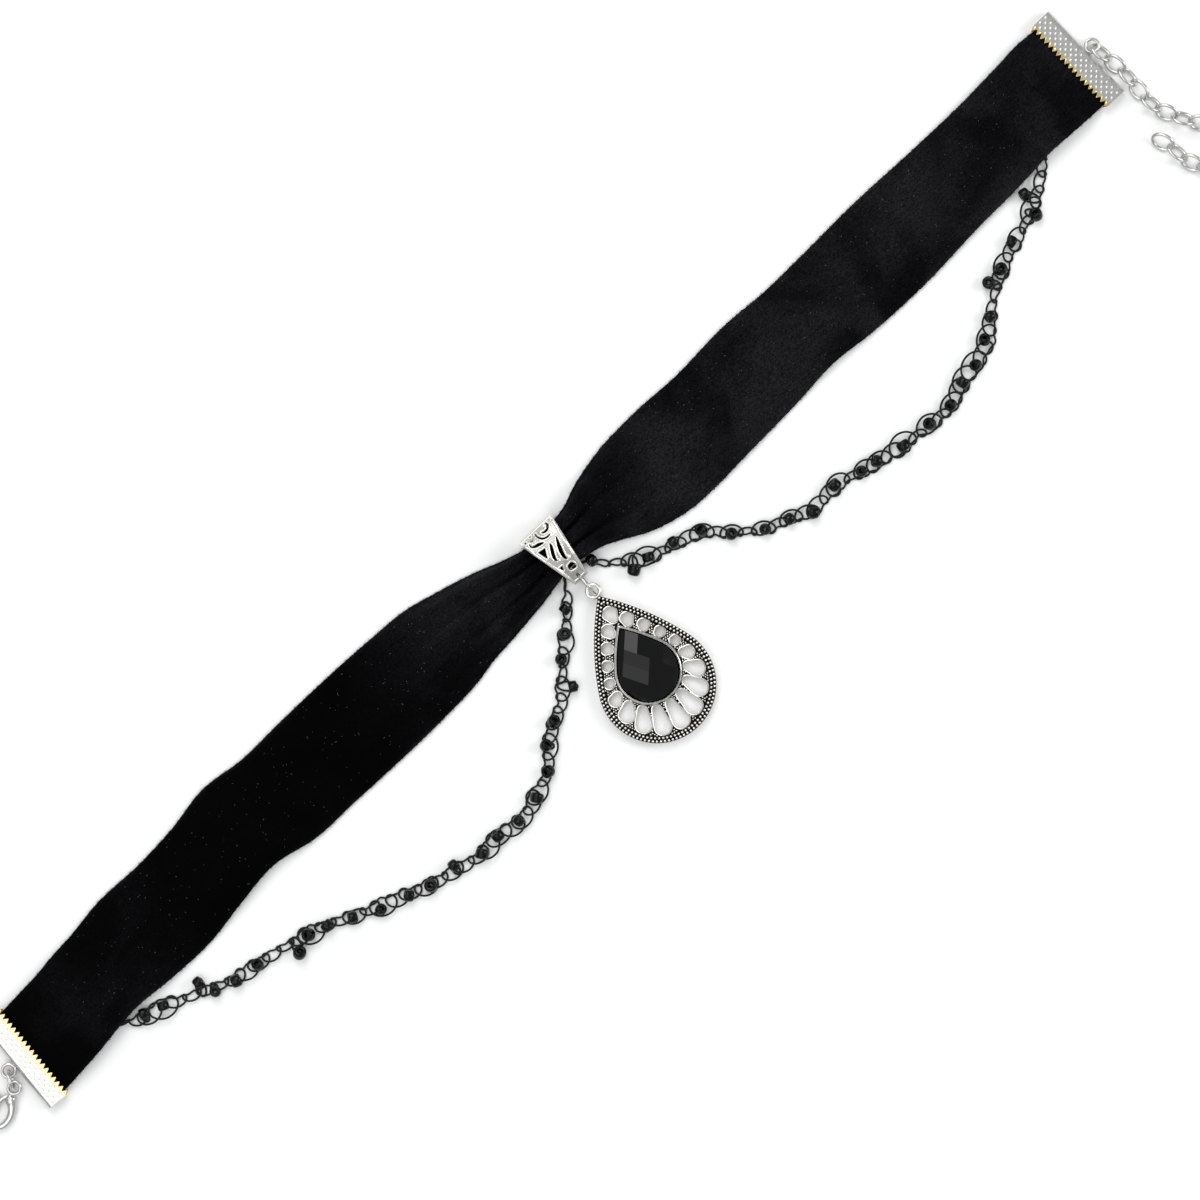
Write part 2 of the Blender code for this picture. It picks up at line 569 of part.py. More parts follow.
def beside(points, i, ahead):
    """The shorter way to a neighbouring point, and how squarely a heading meets the outline there."""
    ways = [points[i] - points[i - 1], points[(i + 1) % len(points)] - points[i]]
    lengths = [np.linalg.norm(way) for way in ways]
    square = [abs(way[0] * ahead[1] - way[1] * ahead[0]) / n for way, n in zip(ways, lengths)]
    return min(lengths), max(0.4, min(square))


def pendant_frame():
    """Turns the pear's U and V into the part's X and Y."""
    axis = Vector((-math.sin(PEAR_TURN), -math.cos(PEAR_TURN), 0))
    side = Vector((math.cos(PEAR_TURN), -math.sin(PEAR_TURN), 0))
    turn = Matrix((axis, side, axis.cross(side))).transposed().to_4x4()
    return Matrix.Translation(PEAR_TIP) @ turn


def pendant_setting():
    """The pierced pear plate with its studded rim, the bezel round the stone and the loop."""
    plate = prism("plate", outer_pear(RIM_WIDTH / 2, 64), 0, PLATE_THICK)
    obj = add_object("pendant_setting", plate, PARTS, ANTIQUE)
    seat = -GAP - BEZEL_WALL
    far = outer_pear(RIM_WIDTH, PETALS)
    near = stone_pear(seat, PETALS)
    for i in range(PETALS):
        ahead, space = far[i] - near[i], np.linalg.norm(far[i] - near[i])
        ahead = ahead / space
        pitch_out, slant_out = beside(far, i, ahead)
        pitch_in, slant_in = beside(near, i, ahead)
        usable = space - PETAL_EDGE / slant_out - PETAL_EDGE / slant_in
        half_out = min((pitch_out - PETAL_RIB) / 2, usable * slant_out / 2)
        left = (usable - half_out / slant_out) * slant_in
        half_in = min((pitch_in - PETAL_RIB) / 2, half_out * 0.85, left * 0.95)
        opening = petal(near[i] + ahead * (half_in + PETAL_EDGE) / slant_in,
                        far[i] - ahead * (half_out + PETAL_EDGE) / slant_out, half_in, half_out)
        name = "petal_%02d" % (i + 1)
        cutter = as_cutter(name, prism(name, opening, -PLATE_THICK, 2 * PLATE_THICK))
        cutter.matrix_world = pendant_frame()
        boolean(obj, cutter, "DIFFERENCE")
    ridge = RIM_WIDTH / 4
    rim = [(0, 0), (0, RIM_HEIGHT - ridge), (ridge * 0.6, RIM_HEIGHT), (ridge * 1.5, RIM_HEIGHT),
           (ridge * 2, RIM_HEIGHT - ridge), (ridge * 2.5, RIM_HEIGHT), (ridge * 3.4, RIM_HEIGHT),
           (ridge * 4, RIM_HEIGHT - ridge), (ridge * 4, 0)]
    bezel = [(-GAP, PLATE_THICK / 2), (-GAP, BEZEL_HEIGHT), (seat * 0.75, BEZEL_HEIGHT),
             (seat, BEZEL_HEIGHT - GAP), (seat, PLATE_THICK / 2)]
    bands = [("rim", pear_ring("rim", outer_pear, rim, 64)),
             ("bezel", pear_ring("bezel", stone_pear, bezel, 48))]
    for name, mesh in bands:
        band = as_cutter(name, mesh)
        band.matrix_world = pendant_frame()
        boolean(obj, band, "UNION")
    obj.matrix_world = pendant_frame()
    loop = as_cutter("pendant_loop", torus("pendant_loop", PENDANT_LOOP, PENDANT_LOOP, LOOP_WIRE, 16, 6))
    loop.matrix_world = Matrix.Translation((0, LOOP_Y, LOOP_UP))
    boolean(obj, loop, "UNION")


def pendant_stone():
    """A checkerboard-cut pear: a prism cut by planes that touch a dome at a diamond grid."""
    bm = bmesh.new()
    base = PLATE_THICK + GAP
    top = base + STONE_GIRDLE + STONE_CROWN
    outline = stone_pear(0, 40)
    low = [bm.verts.new((*p, base)) for p in outline]
    high = [bm.verts.new((*p, top + STONE_CROWN)) for p in outline]
    bm.faces.new(low)
    bm.faces.new(high)
    for i in range(len(low)):
        j = (i + 1) % len(low)
        bm.faces.new((low[i], low[j], high[j], high[i]))
    middle = np.array([STONE_TIP + STONE_LENGTH / 2, 0])
    curve = np.array([(STONE_LENGTH / 2) ** 2, (STONE_WIDTH / 2) ** 2]) / STONE_CROWN / 2
    lean = np.sqrt(curve)
    grid = FACET / np.linalg.norm(lean)
    for i in range(-4, 5):
        for j in range(-4, 5):
            spot = lean * (i + j, i - j) * grid
            drop = float(np.sum(spot**2 / (2 * curve)))
            if drop > 1.6 * STONE_CROWN:
                continue
            slope = spot / curve
            point = Vector((middle[0] + spot[0], middle[1] + spot[1], top - drop))
            geometry = bm.verts[:] + bm.edges[:] + bm.faces[:]
            cut = bmesh.ops.bisect_plane(bm, geom=geometry, plane_co=point, dist=1e-8,
                                         plane_no=(slope[0], slope[1], 1), clear_outer=True)
            edges = [e for e in cut["geom_cut"] if isinstance(e, bmesh.types.BMEdge)]
            if edges:
                bmesh.ops.contextual_create(bm, geom=edges)
    bmesh.ops.remove_doubles(bm, verts=bm.verts, dist=1e-6)
    obj = add_object("pendant_stone", finish_mesh("pendant_stone", bm), PARTS, GLASS)
    obj.matrix_world = pendant_frame()


def string_height(points, radius):
    """Rests the string on the surface, and on the bail's back where it passes through."""
    edge = bail_half(points[0, 1])
    inside = np.clip(1 - (np.abs(points[:, 0]) - edge) / STRING_FALL, 0, 1)
    return radius + inside * BAIL_LIFT


def beaded_string(name, route):
    """The crocheted string's outer form: a tube, thin at its bare ends."""
    points = smooth_path(np.array(route) * MM, STRING_STEP)
    start = np.linalg.norm(points - points[0], axis=1)
    end = np.linalg.norm(points - points[-1], axis=1)
    grow = np.clip(np.minimum(start - BARE_AT_BAIL, end - BARE_AT_CRIMP) / BARE_TAPER, 0, 1)
    radius = (THREAD + (BEAD_STRING - THREAD) * grow) / 2
    curve = bpy.data.curves.new(name, "CURVE")
    curve.dimensions = "3D"
    curve.bevel_depth = 1.0
    curve.bevel_resolution = 2
    curve.use_fill_caps = True
    spline = curve.splines.new("POLY")
    spline.points.add(len(points) - 1)
    height = string_height(points, radius)
    for spot, point, z, r in zip(spline.points, points, height, radius):
        spot.co = (point[0], point[1], z, 1)
        spot.radius = r
    obj = bpy.data.objects.new(name, curve)
    PARTS.objects.link(obj)
    curve.materials.append(BLACK_THREAD)


for old in list(bpy.data.objects):
    bpy.data.objects.remove(old, do_unlink=True)

PARTS = bpy.data.collections.new("choker_necklace")
CUTTERS = bpy.data.collections.new("cutters")
for group in (PARTS, CUTTERS):
    bpy.context.scene.collection.children.link(group)

VELVET = new_material("black_velvet", (0.004, 0.004, 0.005), 0.9, 0.0)
SILVER = new_material("bright_silver", (0.78, 0.76, 0.72), 0.22, 1.0)
ANTIQUE = new_material("antique_silver", (0.66, 0.63, 0.58), 0.35, 1.0)
GLASS = new_material("black_glass", (0.006, 0.006, 0.007), 0.06, 0.0)
BLACK_THREAD = new_material("black_thread", (0.006, 0.006, 0.007), 0.6, 0.0)

ribbon()
bail()

left_y = RIBBON_SECTIONS[0][1] * RIBBON_WIDTH
right_y = RIBBON_SECTIONS[-1][1] * RIBBON_WIDTH
left_loop = crimp("crimp_left", LEFT_TEETH, left_y, LEFT_TILT)
right_loop = crimp("crimp_right", RIGHT_TEETH, right_y, math.pi)

# The left ring stands through the crimp's loop and the clasp's eye.
ring_up = END_RING + RING_RADIUS
to_eye = Vector((math.cos(EYE_TURN), math.sin(EYE_TURN), 0))
to_loop = math.sqrt(END_RING**2 - (ring_up - LINK_UP) ** 2)
eye_reach = math.sqrt(END_RING**2 - (ring_up - LOOP_UP) ** 2)
ring_middle = Vector((left_loop.x, left_loop.y, ring_up)) + to_eye * to_loop
eye_middle = Vector((ring_middle.x, ring_middle.y, LOOP_UP)) + to_eye * eye_reach
end_ring = torus("ring_left", END_RING, END_RING, RING_WIRE, 16, 6)
place_ring("ring_left", end_ring, ring_middle, to_eye, math.pi / 2, SILVER)
clasp(eye_middle, CLASP_TURN)

chain(right_loop)

pendant_ring_mesh = torus("pendant_ring", PENDANT_RING, PENDANT_RING, RING_WIRE, 20, 6)
place_ring("pendant_ring", pendant_ring_mesh, (0, RING_Y, BAR_UP), Vector((0, 1, 0)), math.pi / 2, SILVER)
pendant_setting()
pendant_stone()

beaded_string("beaded_string_left", LEFT_ROUTE)
beaded_string("beaded_string_right", RIGHT_ROUTE)
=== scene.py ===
"""Velvet, silver, glass and beadwork for an open ribbon choker, lying on a white table.

Every length is in metres in the part's own frame: +X runs along the ribbon to the extender
chain, -Y to the pendant's round end, and the table is Z = 0.
"""

import math

import bmesh
import bpy
import numpy as np
from bpy.props import FloatProperty, FloatVectorProperty, IntProperty, PointerProperty
from bpy.types import Operator, Panel, PropertyGroup
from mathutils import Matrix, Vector


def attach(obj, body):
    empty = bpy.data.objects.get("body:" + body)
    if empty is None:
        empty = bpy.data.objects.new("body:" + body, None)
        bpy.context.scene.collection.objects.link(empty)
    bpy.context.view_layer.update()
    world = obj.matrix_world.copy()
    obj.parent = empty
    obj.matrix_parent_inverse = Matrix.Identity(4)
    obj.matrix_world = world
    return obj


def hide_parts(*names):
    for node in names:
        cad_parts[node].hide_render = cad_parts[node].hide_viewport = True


bl_info = {
    "name": "Velvet Choker",
    "version": (1, 0, 0),
    "blender": (4, 5, 0),
    "location": "View3D > Sidebar > Choker",
    "description": "Makes the velvet, silver, glass and beadwork of a ribbon choker",
    "category": "Object",
}

MM = 0.001
GAP = 0.3 * MM

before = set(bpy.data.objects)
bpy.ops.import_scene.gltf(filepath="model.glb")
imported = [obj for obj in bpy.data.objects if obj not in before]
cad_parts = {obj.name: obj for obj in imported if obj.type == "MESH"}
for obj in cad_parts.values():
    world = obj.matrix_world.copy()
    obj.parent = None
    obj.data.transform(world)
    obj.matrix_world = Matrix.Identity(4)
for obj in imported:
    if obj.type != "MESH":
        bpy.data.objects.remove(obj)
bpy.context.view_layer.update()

# The ribbon from crimp to crimp, as the solids have it
RIBBON_LENGTH = 327.1 * MM
RIBBON_WIDTH = 25.4 * MM
RIBBON_WALL = 1.0 * MM
RIBBON_TUCK = 4.4 * MM
# Where the bail grips it, as a share of its length, and its big folds and fine pleats there
BAIL_SHARE = 0.506
FOLDS = 3
PLEATS = 9
# How far from the bail the fine pleats run out, as a share of the ribbon's length
PLEAT_REACH = 0.11
RIBBON_ROWS, RIBBON_COLUMNS = 560, 61
# The woven edge's width as a share of the ribbon's
SELVEDGE = 0.012
HAIR = 0.035 * MM
# The shortest tuft, and how deep in the edge its root lies
TUFT_LEAST = 0.14 * MM
TUFT_ROOT = 0.12 * MM
LINT_COUNT = 640
LINT_THICK = 0.045 * MM
LEFT_TEETH = -RIBBON_LENGTH * BAIL_SHARE
RIGHT_TEETH = RIBBON_LENGTH + LEFT_TEETH
CRIMP_LIFT = 0.8 * MM
BAIL_LIFT = 1.2 * MM
RIBBON_SECTIONS = [
    # along, middle, width, fold, low, up, seat
    (0, 0.03, 0.905, 0, 0, 0, 1), (0.018, 0.045, 0.9, 0, 0.053, 0.002, 1),
    (0.035, 0.061, 0.892, 0, 0.077, 0.002, 0.9), (0.053, 0.09, 0.888, 0, 0.091, 0.001, 0.6),
    (0.07, 0.109, 0.88, 0, 0.077, 0, 0.25), (0.105, 0.122, 0.96, 0, 0.025, 0, 0),
    (0.141, 0.115, 0.955, 0, 0, 0, 0), (0.176, 0.161, 0.92, 0, 0.05, 0, 0),
    (0.211, 0.217, 0.942, 0, 0.06, 0, 0), (0.246, 0.149, 0.978, 0, 0.01, 0, 0),
    (0.281, 0.15, 0.99, 0, 0, 0, 0), (0.316, 0.145, 1, 0, 0, 0, 0), (0.369, 0.136, 0.978, 0.5, 0, 0, 0),
    (0.404, 0.131, 0.915, 1, 0, 0, 0), (0.422, 0.122, 0.815, 1, 0, 0, 0), (0.44, 0.1, 0.734, 1, 0, 0, 0),
    (0.457, 0.077, 0.643, 1, 0, 0, 0.25), (0.475, 0.046, 0.53, 1, 0, 0, 0.64),
    (0.492, 0.036, 0.43, 1, 0, 0, 1), (0.506, 0.045, 0.398, 1, 0, 0, 1), (0.52, 0.04, 0.44, 1, 0, 0, 1),
    (0.532, 0.036, 0.5, 1, 0, 0, 0.93), (0.545, 0.029, 0.639, 1, 0, 0, 0.64),
    (0.563, -0.002, 0.82, 1, 0, 0, 0.25), (0.58, -0.02, 0.928, 1, 0, 0, 0),
    (0.598, -0.034, 0.985, 0.5, 0, 0, 0), (0.615, -0.036, 0.996, 0, 0, 0, 0),
    (0.65, -0.036, 0.96, 0, 0.012, 0, 0), (0.703, -0.009, 0.96, 0, 0, 0, 0),
    (0.738, -0.007, 0.901, 0, 0.035, 0, 0), (0.774, -0.025, 0.946, 0, 0.01, 0, 0),
    (0.826, -0.023, 0.974, 0, 0, 0, 0), (0.879, -0.011, 0.92, 0, 0.02, 0, 0),
    (0.914, -0.007, 0.905, 0, 0.028, 0, 0.38), (0.932, 0, 0.895, 0, 0.064, 0, 0.5),
    (0.949, 0.014, 0.887, 0, 0.08, 0, 0.63), (0.967, 0.016, 0.905, 0, 0.072, 0, 0.89),
    (0.985, 0.018, 0.93, 0, 0.053, 0.002, 1), (1, 0.01, 0.92, 0, 0, 0, 1),
]

# Crimp ends
CRIMP_LENGTH = 25.2 * MM
CRIMP_DEPTH = 6.0 * MM
CRIMP_PLATE = 0.5 * MM
CRIMP_HEIGHT = 2.6 * MM
CRIMP_TEETH = 19
# Half of a tooth's gap as a share of the teeth's pitch
TOOTH_GAP = 0.45
DOT_RADIUS = 0.21 * MM
DOT_CLEAR = 0.3 * MM
CRIMP_SLANT = math.radians(4.5)
TOOTH_HEIGHT = 1.05 * MM
CRIMP_LOOP = 1.5 * MM
LOOP_WIRE = 0.8 * MM
LOOP_OUT = CRIMP_LOOP + LOOP_WIRE / 2 - CRIMP_PLATE / 2
LINK_REACH = 2.6 * MM
RING_LEFT = 2.3 * MM
PENDANT_RING = 2.9 * MM
LINK_HALF = 1.9 * MM
RING_WIRE = 0.8 * MM
LINK_UP = LINK_HALF * math.sin(math.radians(45)) + RING_WIRE / 2
CRIMP_PLACES = {
    # teeth's X, middle's Y, turn
    "crimp_left": (LEFT_TEETH, 0.030 * RIBBON_WIDTH, -CRIMP_SLANT),
    "crimp_right": (RIGHT_TEETH, 0.010 * RIBBON_WIDTH, math.pi),
}

# Claw clasp: the eye's middle, the heading from it, and rows of places along each rounded form
CLASP_EYE_PLACE = (-174.95 * MM, -2.36 * MM, 1.65 * MM)
CLASP_TURN = math.radians(202)
CLASP_EYE = 1.4 * MM
CLASP_FORMS = [
    # ((along, sideways, up, radius) in millimetres, ...), flatness
    ([(1.5, 0, 1.3, 0.5), (2.2, 0.1, 1.2, 1.15), (3, 0.5, 1.2, 1.35), (4, 1.2, 1.2, 1.1),
      (5.4, 1.75, 1.2, 0.95), (7.2, 1.85, 1.2, 0.85), (8.8, 1.35, 1.2, 0.78), (9.8, 0.4, 1.2, 0.7),
      (9.9, -0.5, 1.2, 0.6), (9.4, -1.1, 1.2, 0.42)], 0.82),
    ([(2.4, -0.6, 1.2, 0.55), (3.4, -1.5, 1.2, 0.62), (5, -2, 1.2, 0.58), (7, -1.95, 1.2, 0.52),
      (8.6, -1.45, 1.2, 0.46), (9.2, -1.15, 1.2, 0.3)], 0.95),
    ([(3.7, -1.7, 1.2, 0.45), (3.5, -2.3, 1.2, 0.5), (3.3, -2.75, 1.2, 0.62), (3.2, -3.1, 1.2, 0.4)], 1),
]

# Bail, as the solids have it
BAIL_LENGTH = 15.85 * MM
BAIL_TOP = 8.2 * MM
BAIL_HEIGHT = 7.5 * MM
BAIL_WIDE = 10.0 * MM
BAIL_NARROW = 3.8 * MM
BAIL_WALL = 0.9 * MM
BAIL_END = BAIL_TOP - BAIL_LENGTH
# The least angle at which a casting's edge counts as one
CASTING_EDGE = math.radians(35)
BAIL_FRONT = [
    # along, up
    (0, 0.48), (0.01, 0.61), (0.09, 0.865), (0.245, 1), (0.45, 1),
    (0.64, 0.915), (0.765, 0.8), (0.88, 0.665), (0.99, 0.49), (1, 0.4),
]
BAIL_OPENINGS = {
    # across, along, half
    "crescent": [(-0.07, 0.05, 0.1), (-0.17, 0.1, 0.24), (-0.05, 0.19, 0.28), (0.25, 0.225, 0.24),
                 (0.46, 0.205, 0.08)],
    "spiral": [(0.1, 0.1, 0.16), (0.2, 0.14, 0.28), (0.42, 0.14, 0.34), (0.57, 0.09, 0.4),
               (0.5, 0.045, 0.34)],
    "scroll": [(-0.6, 0.105, 0.12), (-0.69, 0.15, 0.22), (-0.6, 0.196, 0.26), (-0.4, 0.212, 0.48),
               (-0.22, 0.23, 0.36), (-0.06, 0.252, 0.08)],
    "wedge": [(-0.5, 0.465, 0.08), (-0.47, 0.39, 0.5), (-0.43, 0.31, 1.1), (-0.42, 0.292, 1.2)],
    "fan_left": [(0.1, 0.295, 0.08), (0.02, 0.35, 0.4), (-0.16, 0.45, 0.52), (-0.27, 0.535, 0.38),
                 (-0.2, 0.59, 0.12)],
    "fan_right": [(0.54, 0.275, 0.08), (0.36, 0.38, 0.44), (0.19, 0.505, 0.6), (0.11, 0.61, 0.42),
                  (0.22, 0.662, 0.14)],
    "corner": [(-0.46, 0.026, 0.08), (-0.4, 0.045, 0.3), (-0.34, 0.064, 0.12)],
    "leaf": [(-0.82, 0.056, 0.08), (-0.75, 0.072, 0.3), (-0.68, 0.088, 0.12)],
    "notch": [(-0.34, 0.745, 0.08), (-0.33, 0.7, 0.36), (-0.32, 0.655, 0.62)],
    "shield": [(0.06, 0.703, 0.55), (0.07, 0.74, 1), (0.07, 0.785, 1.1), (0.05, 0.828, 0.7)],
}
SCROLL_GROW = 0.16 * MM
SCROLL_WIRE = 0.24 * MM
RAIL_WIRE = 0.36 * MM
MOUTH_WIRE = 0.3 * MM
# The rails' inset as a share of the bail's half width
RAIL_INSET = 0.075
# Rails across both ends of the bail's front: along, reach as a share of half its width
MOUTH_RAILS = ((0.028, 0.93), (0.955, 0.30))
# Balls where a scroll ends: across, along, radius in millimetres
SCROLL_ENDS = [(0.42, 0.078, 0.62), (-0.55, 0.155, 0.52), (-0.14, 0.585, 0.52), (0.28, 0.64, 0.58)]

# Pendant, as the solids have it
PEAR_LENGTH = 38.0 * MM
PEAR_WIDTH = 27.2 * MM
PEAR_SIDE = 64.0 * MM
PEAR_TURN = math.radians(9.7)
PEAR_TIP = (0.0, -12.93 * MM)
RIM_WIDTH = 1.5 * MM
RIM_HEIGHT = 2.2 * MM
PLATE_THICK = 1.3 * MM
PETALS = 18
PETAL_RIB = 1.0 * MM
PETAL_EDGE = 0.15 * MM
STONE_LENGTH = 18.5 * MM
STONE_WIDTH = 14.0 * MM
STONE_SIDE = 45.0 * MM
STONE_TIP = 9.2 * MM
BEZEL_WALL = 0.5 * MM
PENDANT_LOOP = 1.5 * MM
PENDANT_LOOP_PLACE = (0.0, -11.43 * MM, 1.65 * MM)
# The rim's rows of studs: inset from the edge, half pitches moved along
STUD_ROWS = ((0.40 * MM, 0), (1.12 * MM, 1))
STUD_SINK = 0.16 * MM
WIRE_SINK = 0.02 * MM
GRAIN_CLEAR = 0.42 * MM
# The bezel's lip, from outside over its rounded top to the stone: inset and height in millimetres
BEZEL_LIP = [(-0.8, 1.25), (-0.8, 2.9), (-0.76, 3.25), (-0.64, 3.46), (-0.46, 3.5), (-0.32, 3.38),
             (-0.28, 3.1), (-0.28, 1.25)]
# Darkness up a stud, from its sunk foot to its rubbed top
STUD_TONE = np.array([1.0, 1.0, 1.0, 0.6, 0.1, 0.0, 0.0])[:, None]

# The beaded strings' routes and their beads: X and Y in millimetres
LEFT_ROUTE = [
    (-0.2, -4.55), (-1.6, -4.6), (-2.9, -5), (-3.9, -6.2), (-5.2, -8.2), (-7.6, -10.8), (-11.1, -14),
    (-15.5, -18), (-20.3, -22.4), (-22.9, -25.1), (-27.1, -27), (-31.8, -30.2), (-36.2, -34.2),
    (-42.2, -36.7), (-48.5, -38.4), (-54.5, -37.3), (-59.6, -37.8), (-67.5, -36.1), (-73.3, -34.8),
    (-78.4, -32.8), (-85.4, -30.3), (-91.2, -27.7), (-97, -25.1), (-101.5, -23.7), (-107.9, -21.8),
    (-114, -20.7), (-121, -19.3), (-129.4, -15.9), (-137.7, -12.6), (-142.6, -11.3), (-147.5, -8.6),
    (-153, -6.6), (-158, -5.6),
]
RIGHT_ROUTE = [
    (0.2, -4.55), (1.6, -4.6), (2.9, -5), (4.2, -6.2), (6.2, -8.4), (9.3, -10.9), (14.5, -14.4),
    (20.9, -16.5), (27.2, -18.6), (32.2, -23.3), (38.6, -28.3), (44, -30.2), (49.5, -32.6),
    (57.2, -32.2), (62.9, -33.7), (67.5, -34.8), (74.7, -36), (82.1, -37), (88.7, -37.1), (94.1, -35),
    (99.5, -34), (105.1, -32.1), (109.3, -28.9), (113, -26.2), (118.6, -22.7), (125.1, -20.2),
    (130.2, -18.6), (135, -16.6), (138.4, -14.6), (142.3, -11.7), (146.6, -9.2), (151.5, -7.4),
    (156, -6.4),
]
LEFT_BEADS = [
    (-7.6, -10), (-11.5, -14.1), (-16.2, -17.7), (-18.5, -24.1), (-27.2, -26.9), (-32.3, -29.6),
    (-36.1, -34.3), (-42.1, -36.9), (-48.7, -37.8), (-54.6, -37), (-60.1, -37.5), (-66.7, -35),
    (-73.7, -34.7), (-78.9, -32.9), (-85.8, -30.8), (-91.7, -27.6), (-97.2, -25), (-101.8, -23.5),
    (-106.1, -25.1), (-115, -20.4), (-121.1, -19.7), (-126.3, -18.2), (-127.7, -14), (-137.2, -12.3),
    (-141.8, -10.5),
]
RIGHT_BEADS = [
    (4.6, -6.1), (10.1, -14.4), (14.5, -14.5), (21, -16), (27.6, -18.4), (32, -23.8), (38.4, -28.4),
    (44, -30.5), (49, -33.3), (56.9, -32), (63.6, -34), (67.7, -34.7), (74.6, -36.4), (82.4, -36.9),
    (88.9, -37.1), (94.4, -35.3), (99.4, -34.4), (104.9, -31.6), (109.4, -28.6), (114.6, -22.8),
    (118.8, -22.4), (124.9, -19.6), (133.2, -18.9), (134.5, -13.8),
]
STRING_STEP = 0.1 * MM
LOOP_PITCH = 3.5 * MM
BEAD_HOLE = 0.42 * MM
# How far from a bead its loops swell, and half the width of the bare chain
SWELL_REACH = 2.8 * MM
BARE_CHAIN = 0.22 * MM
# Bare at the bail and under the ribbon's end, and how far the loops take to open there
BARE_START, BARE_END, OPENING = 5 * MM, 12 * MM, 3 * MM
# The second thread's points along the string, and its twist's length over 2 pi
TWIST_STEP = 0.35 * MM
TWIST = 0.45 * MM
# A bead farther than this from its string hangs on a loop, which reaches past it and is so wide
TIE_GAP, TIE_PAST, TIE_HALF = 0.7 * MM, 1.1 * MM, 0.75 * MM
STRINGS = {"left": (LEFT_ROUTE, LEFT_BEADS, 11), "right": (RIGHT_ROUTE, RIGHT_BEADS, 23)}

LAMPS = {
    # sideways, upwards in the picture, height, width, length, watts, aimed at the middle
    "lamp_overhead": (-0.47, -0.05, 1.2, 1.14, 1.15, 4.3, False),
    "lamp_top": (-0.22, 0.85, 1.0, 0.7, 0.7, 5.5, True),
    "lamp_right": (0.80, 0.187, 0.55, 0.38, 0.38, 2.4, True),
    "lamp_low": (-0.45, -0.50, 0.8, 0.95, 0.28, 1.2, False),
}
TENT_COLOUR = "F4F6F8"
TENT_STRENGTH = 0.56

# The camera's square, straight above
VIEW_MIDDLE = (-0.3 * MM, -14.0 * MM)
VIEW_SIDE = 276.0 * MM
VIEW_TURN = math.radians(-43.6)
VIEW_DISTANCE = 0.9


def linear(code):
    """An sRGB hex colour as linear values, by the standard's two-part curve."""
    parts = [int(code[i : i + 2], 16) / 255 for i in (0, 2, 4)]
    return tuple(p / 12.92 if p <= 0.04045 else ((p + 0.055) / 1.055) ** 2.4 for p in parts)


def colour(name, description, code):
    return FloatVectorProperty(name=name, description=description, subtype="COLOR", size=3,
                               min=0.0, max=1.0, default=linear(code))


def length(name, description, default):
    return FloatProperty(name=name, description=description, default=default, min=0.0,
                         subtype="DISTANCE", unit="LENGTH", precision=5)


class ChokerSizes(PropertyGroup):
    """Sizes of the fine work that the solids don't hold."""

    pile: length("Pile", "Longest tuft along the ribbon's edges", 0.65 * MM)
    tufts: IntProperty(name="Tufts", description="Tufts along each edge", default=7500, min=0)
    pleat: length("Pleat", "Height of the fine pleats at the bail", 0.22 * MM)
    dot_pitch: length("Dot pitch", "Distance between the crimps' raised dots", 1.2 * MM)
    dot_height: length("Dot height", "How far the crimps' dots stand up", 0.08 * MM)
    stud: length("Stud", "Radius of the studs on the pendant's rim", 0.34 * MM)
    stud_pitch: length("Stud pitch", "Distance between the rim's studs", 0.92 * MM)
    petal_wire: length("Petal wire", "Radius of the raised edge round a petal", 0.22 * MM)
    grain_pitch: length("Grain pitch", "Distance between the grains round the petals", 0.58 * MM)
    thread: length("Thread", "Radius of the crocheted thread", 0.24 * MM)
    bead: length("Bead", "Radius of a seed bead", 1.52 * MM)
    bead_length: length("Bead length", "Length of a seed bead along its hole", 2.3 * MM)


class ChokerFinishes(PropertyGroup):
    """Colours of the choker's materials."""

    velvet: colour("Velvet", "The pile's dye", "010101")
    # Painted sheen: the lighter colour that the velvet's base colour is mixed toward where light on the
    # pile is painted in.
    velvet_sheen_paint: colour("Velvet tips", "Pile that leans toward the light", "242327")
    sheen: colour("Sheen", "Light along the pile's tips", "8C8C98")
    thread: colour("Thread", "Crochet thread", "0B0B0D")
    bead: colour("Beads", "Seed bead glass", "040405")
    stone: colour("Stone", "Pear stone glass", "030304")
    bright: colour("Bright silver", "Plated crimps, rings and chain", "CFCECB")
    teeth: colour("Tooth edge", "Warm base metal at the crimps' teeth", "E6D28C")
    antique: colour("Antique silver", "Rubbed high places of the castings", "F2F0EA")
    patina: colour("Patina", "Darkened hollows of the castings", "1D1A18")
    lint: colour("Lint", "Dust caught in the pile", "8A8A8C")
    table: colour("Table", "White table", "FAFAF9")


def add_node(tree, kind, settings=(), values=(), links=()):
    """Adds a shader node, sets its properties and input values, and links its inputs."""
    made = tree.nodes.new(kind)
    for key, value in dict(settings).items():
        setattr(made, key, value)
    for key, value in dict(values).items():
        made.inputs[key].default_value = value
    for key, socket in dict(links).items():
        tree.links.new(socket, made.inputs[key])
    return made


def new_material(name, values):
    """A material with one Principled shader set to the given values."""
    material = bpy.data.materials.new(name)
    material.use_nodes = True
    shader = material.node_tree.nodes["Principled BSDF"]
    for key, value in values.items():
        shader.inputs[key].default_value = value
    return material, material.node_tree, shader


def rgba(values):
    return (*values, 1.0)


def place_of(tree):
    return add_node(tree, "ShaderNodeTexCoord").outputs["Object"]


def tone_of(tree):
    return add_node(tree, "ShaderNodeAttribute", {"attribute_name": "tone"}).outputs["Fac"]


def noise(tree, place, scale, detail, **more):
    """A noise pattern; a scale of 1000 repeats about every millimetre."""
    return add_node(tree, "ShaderNodeTexNoise", values={"Scale": scale, "Detail": detail, **more},
                    links={"Vector": place}).outputs["Fac"]


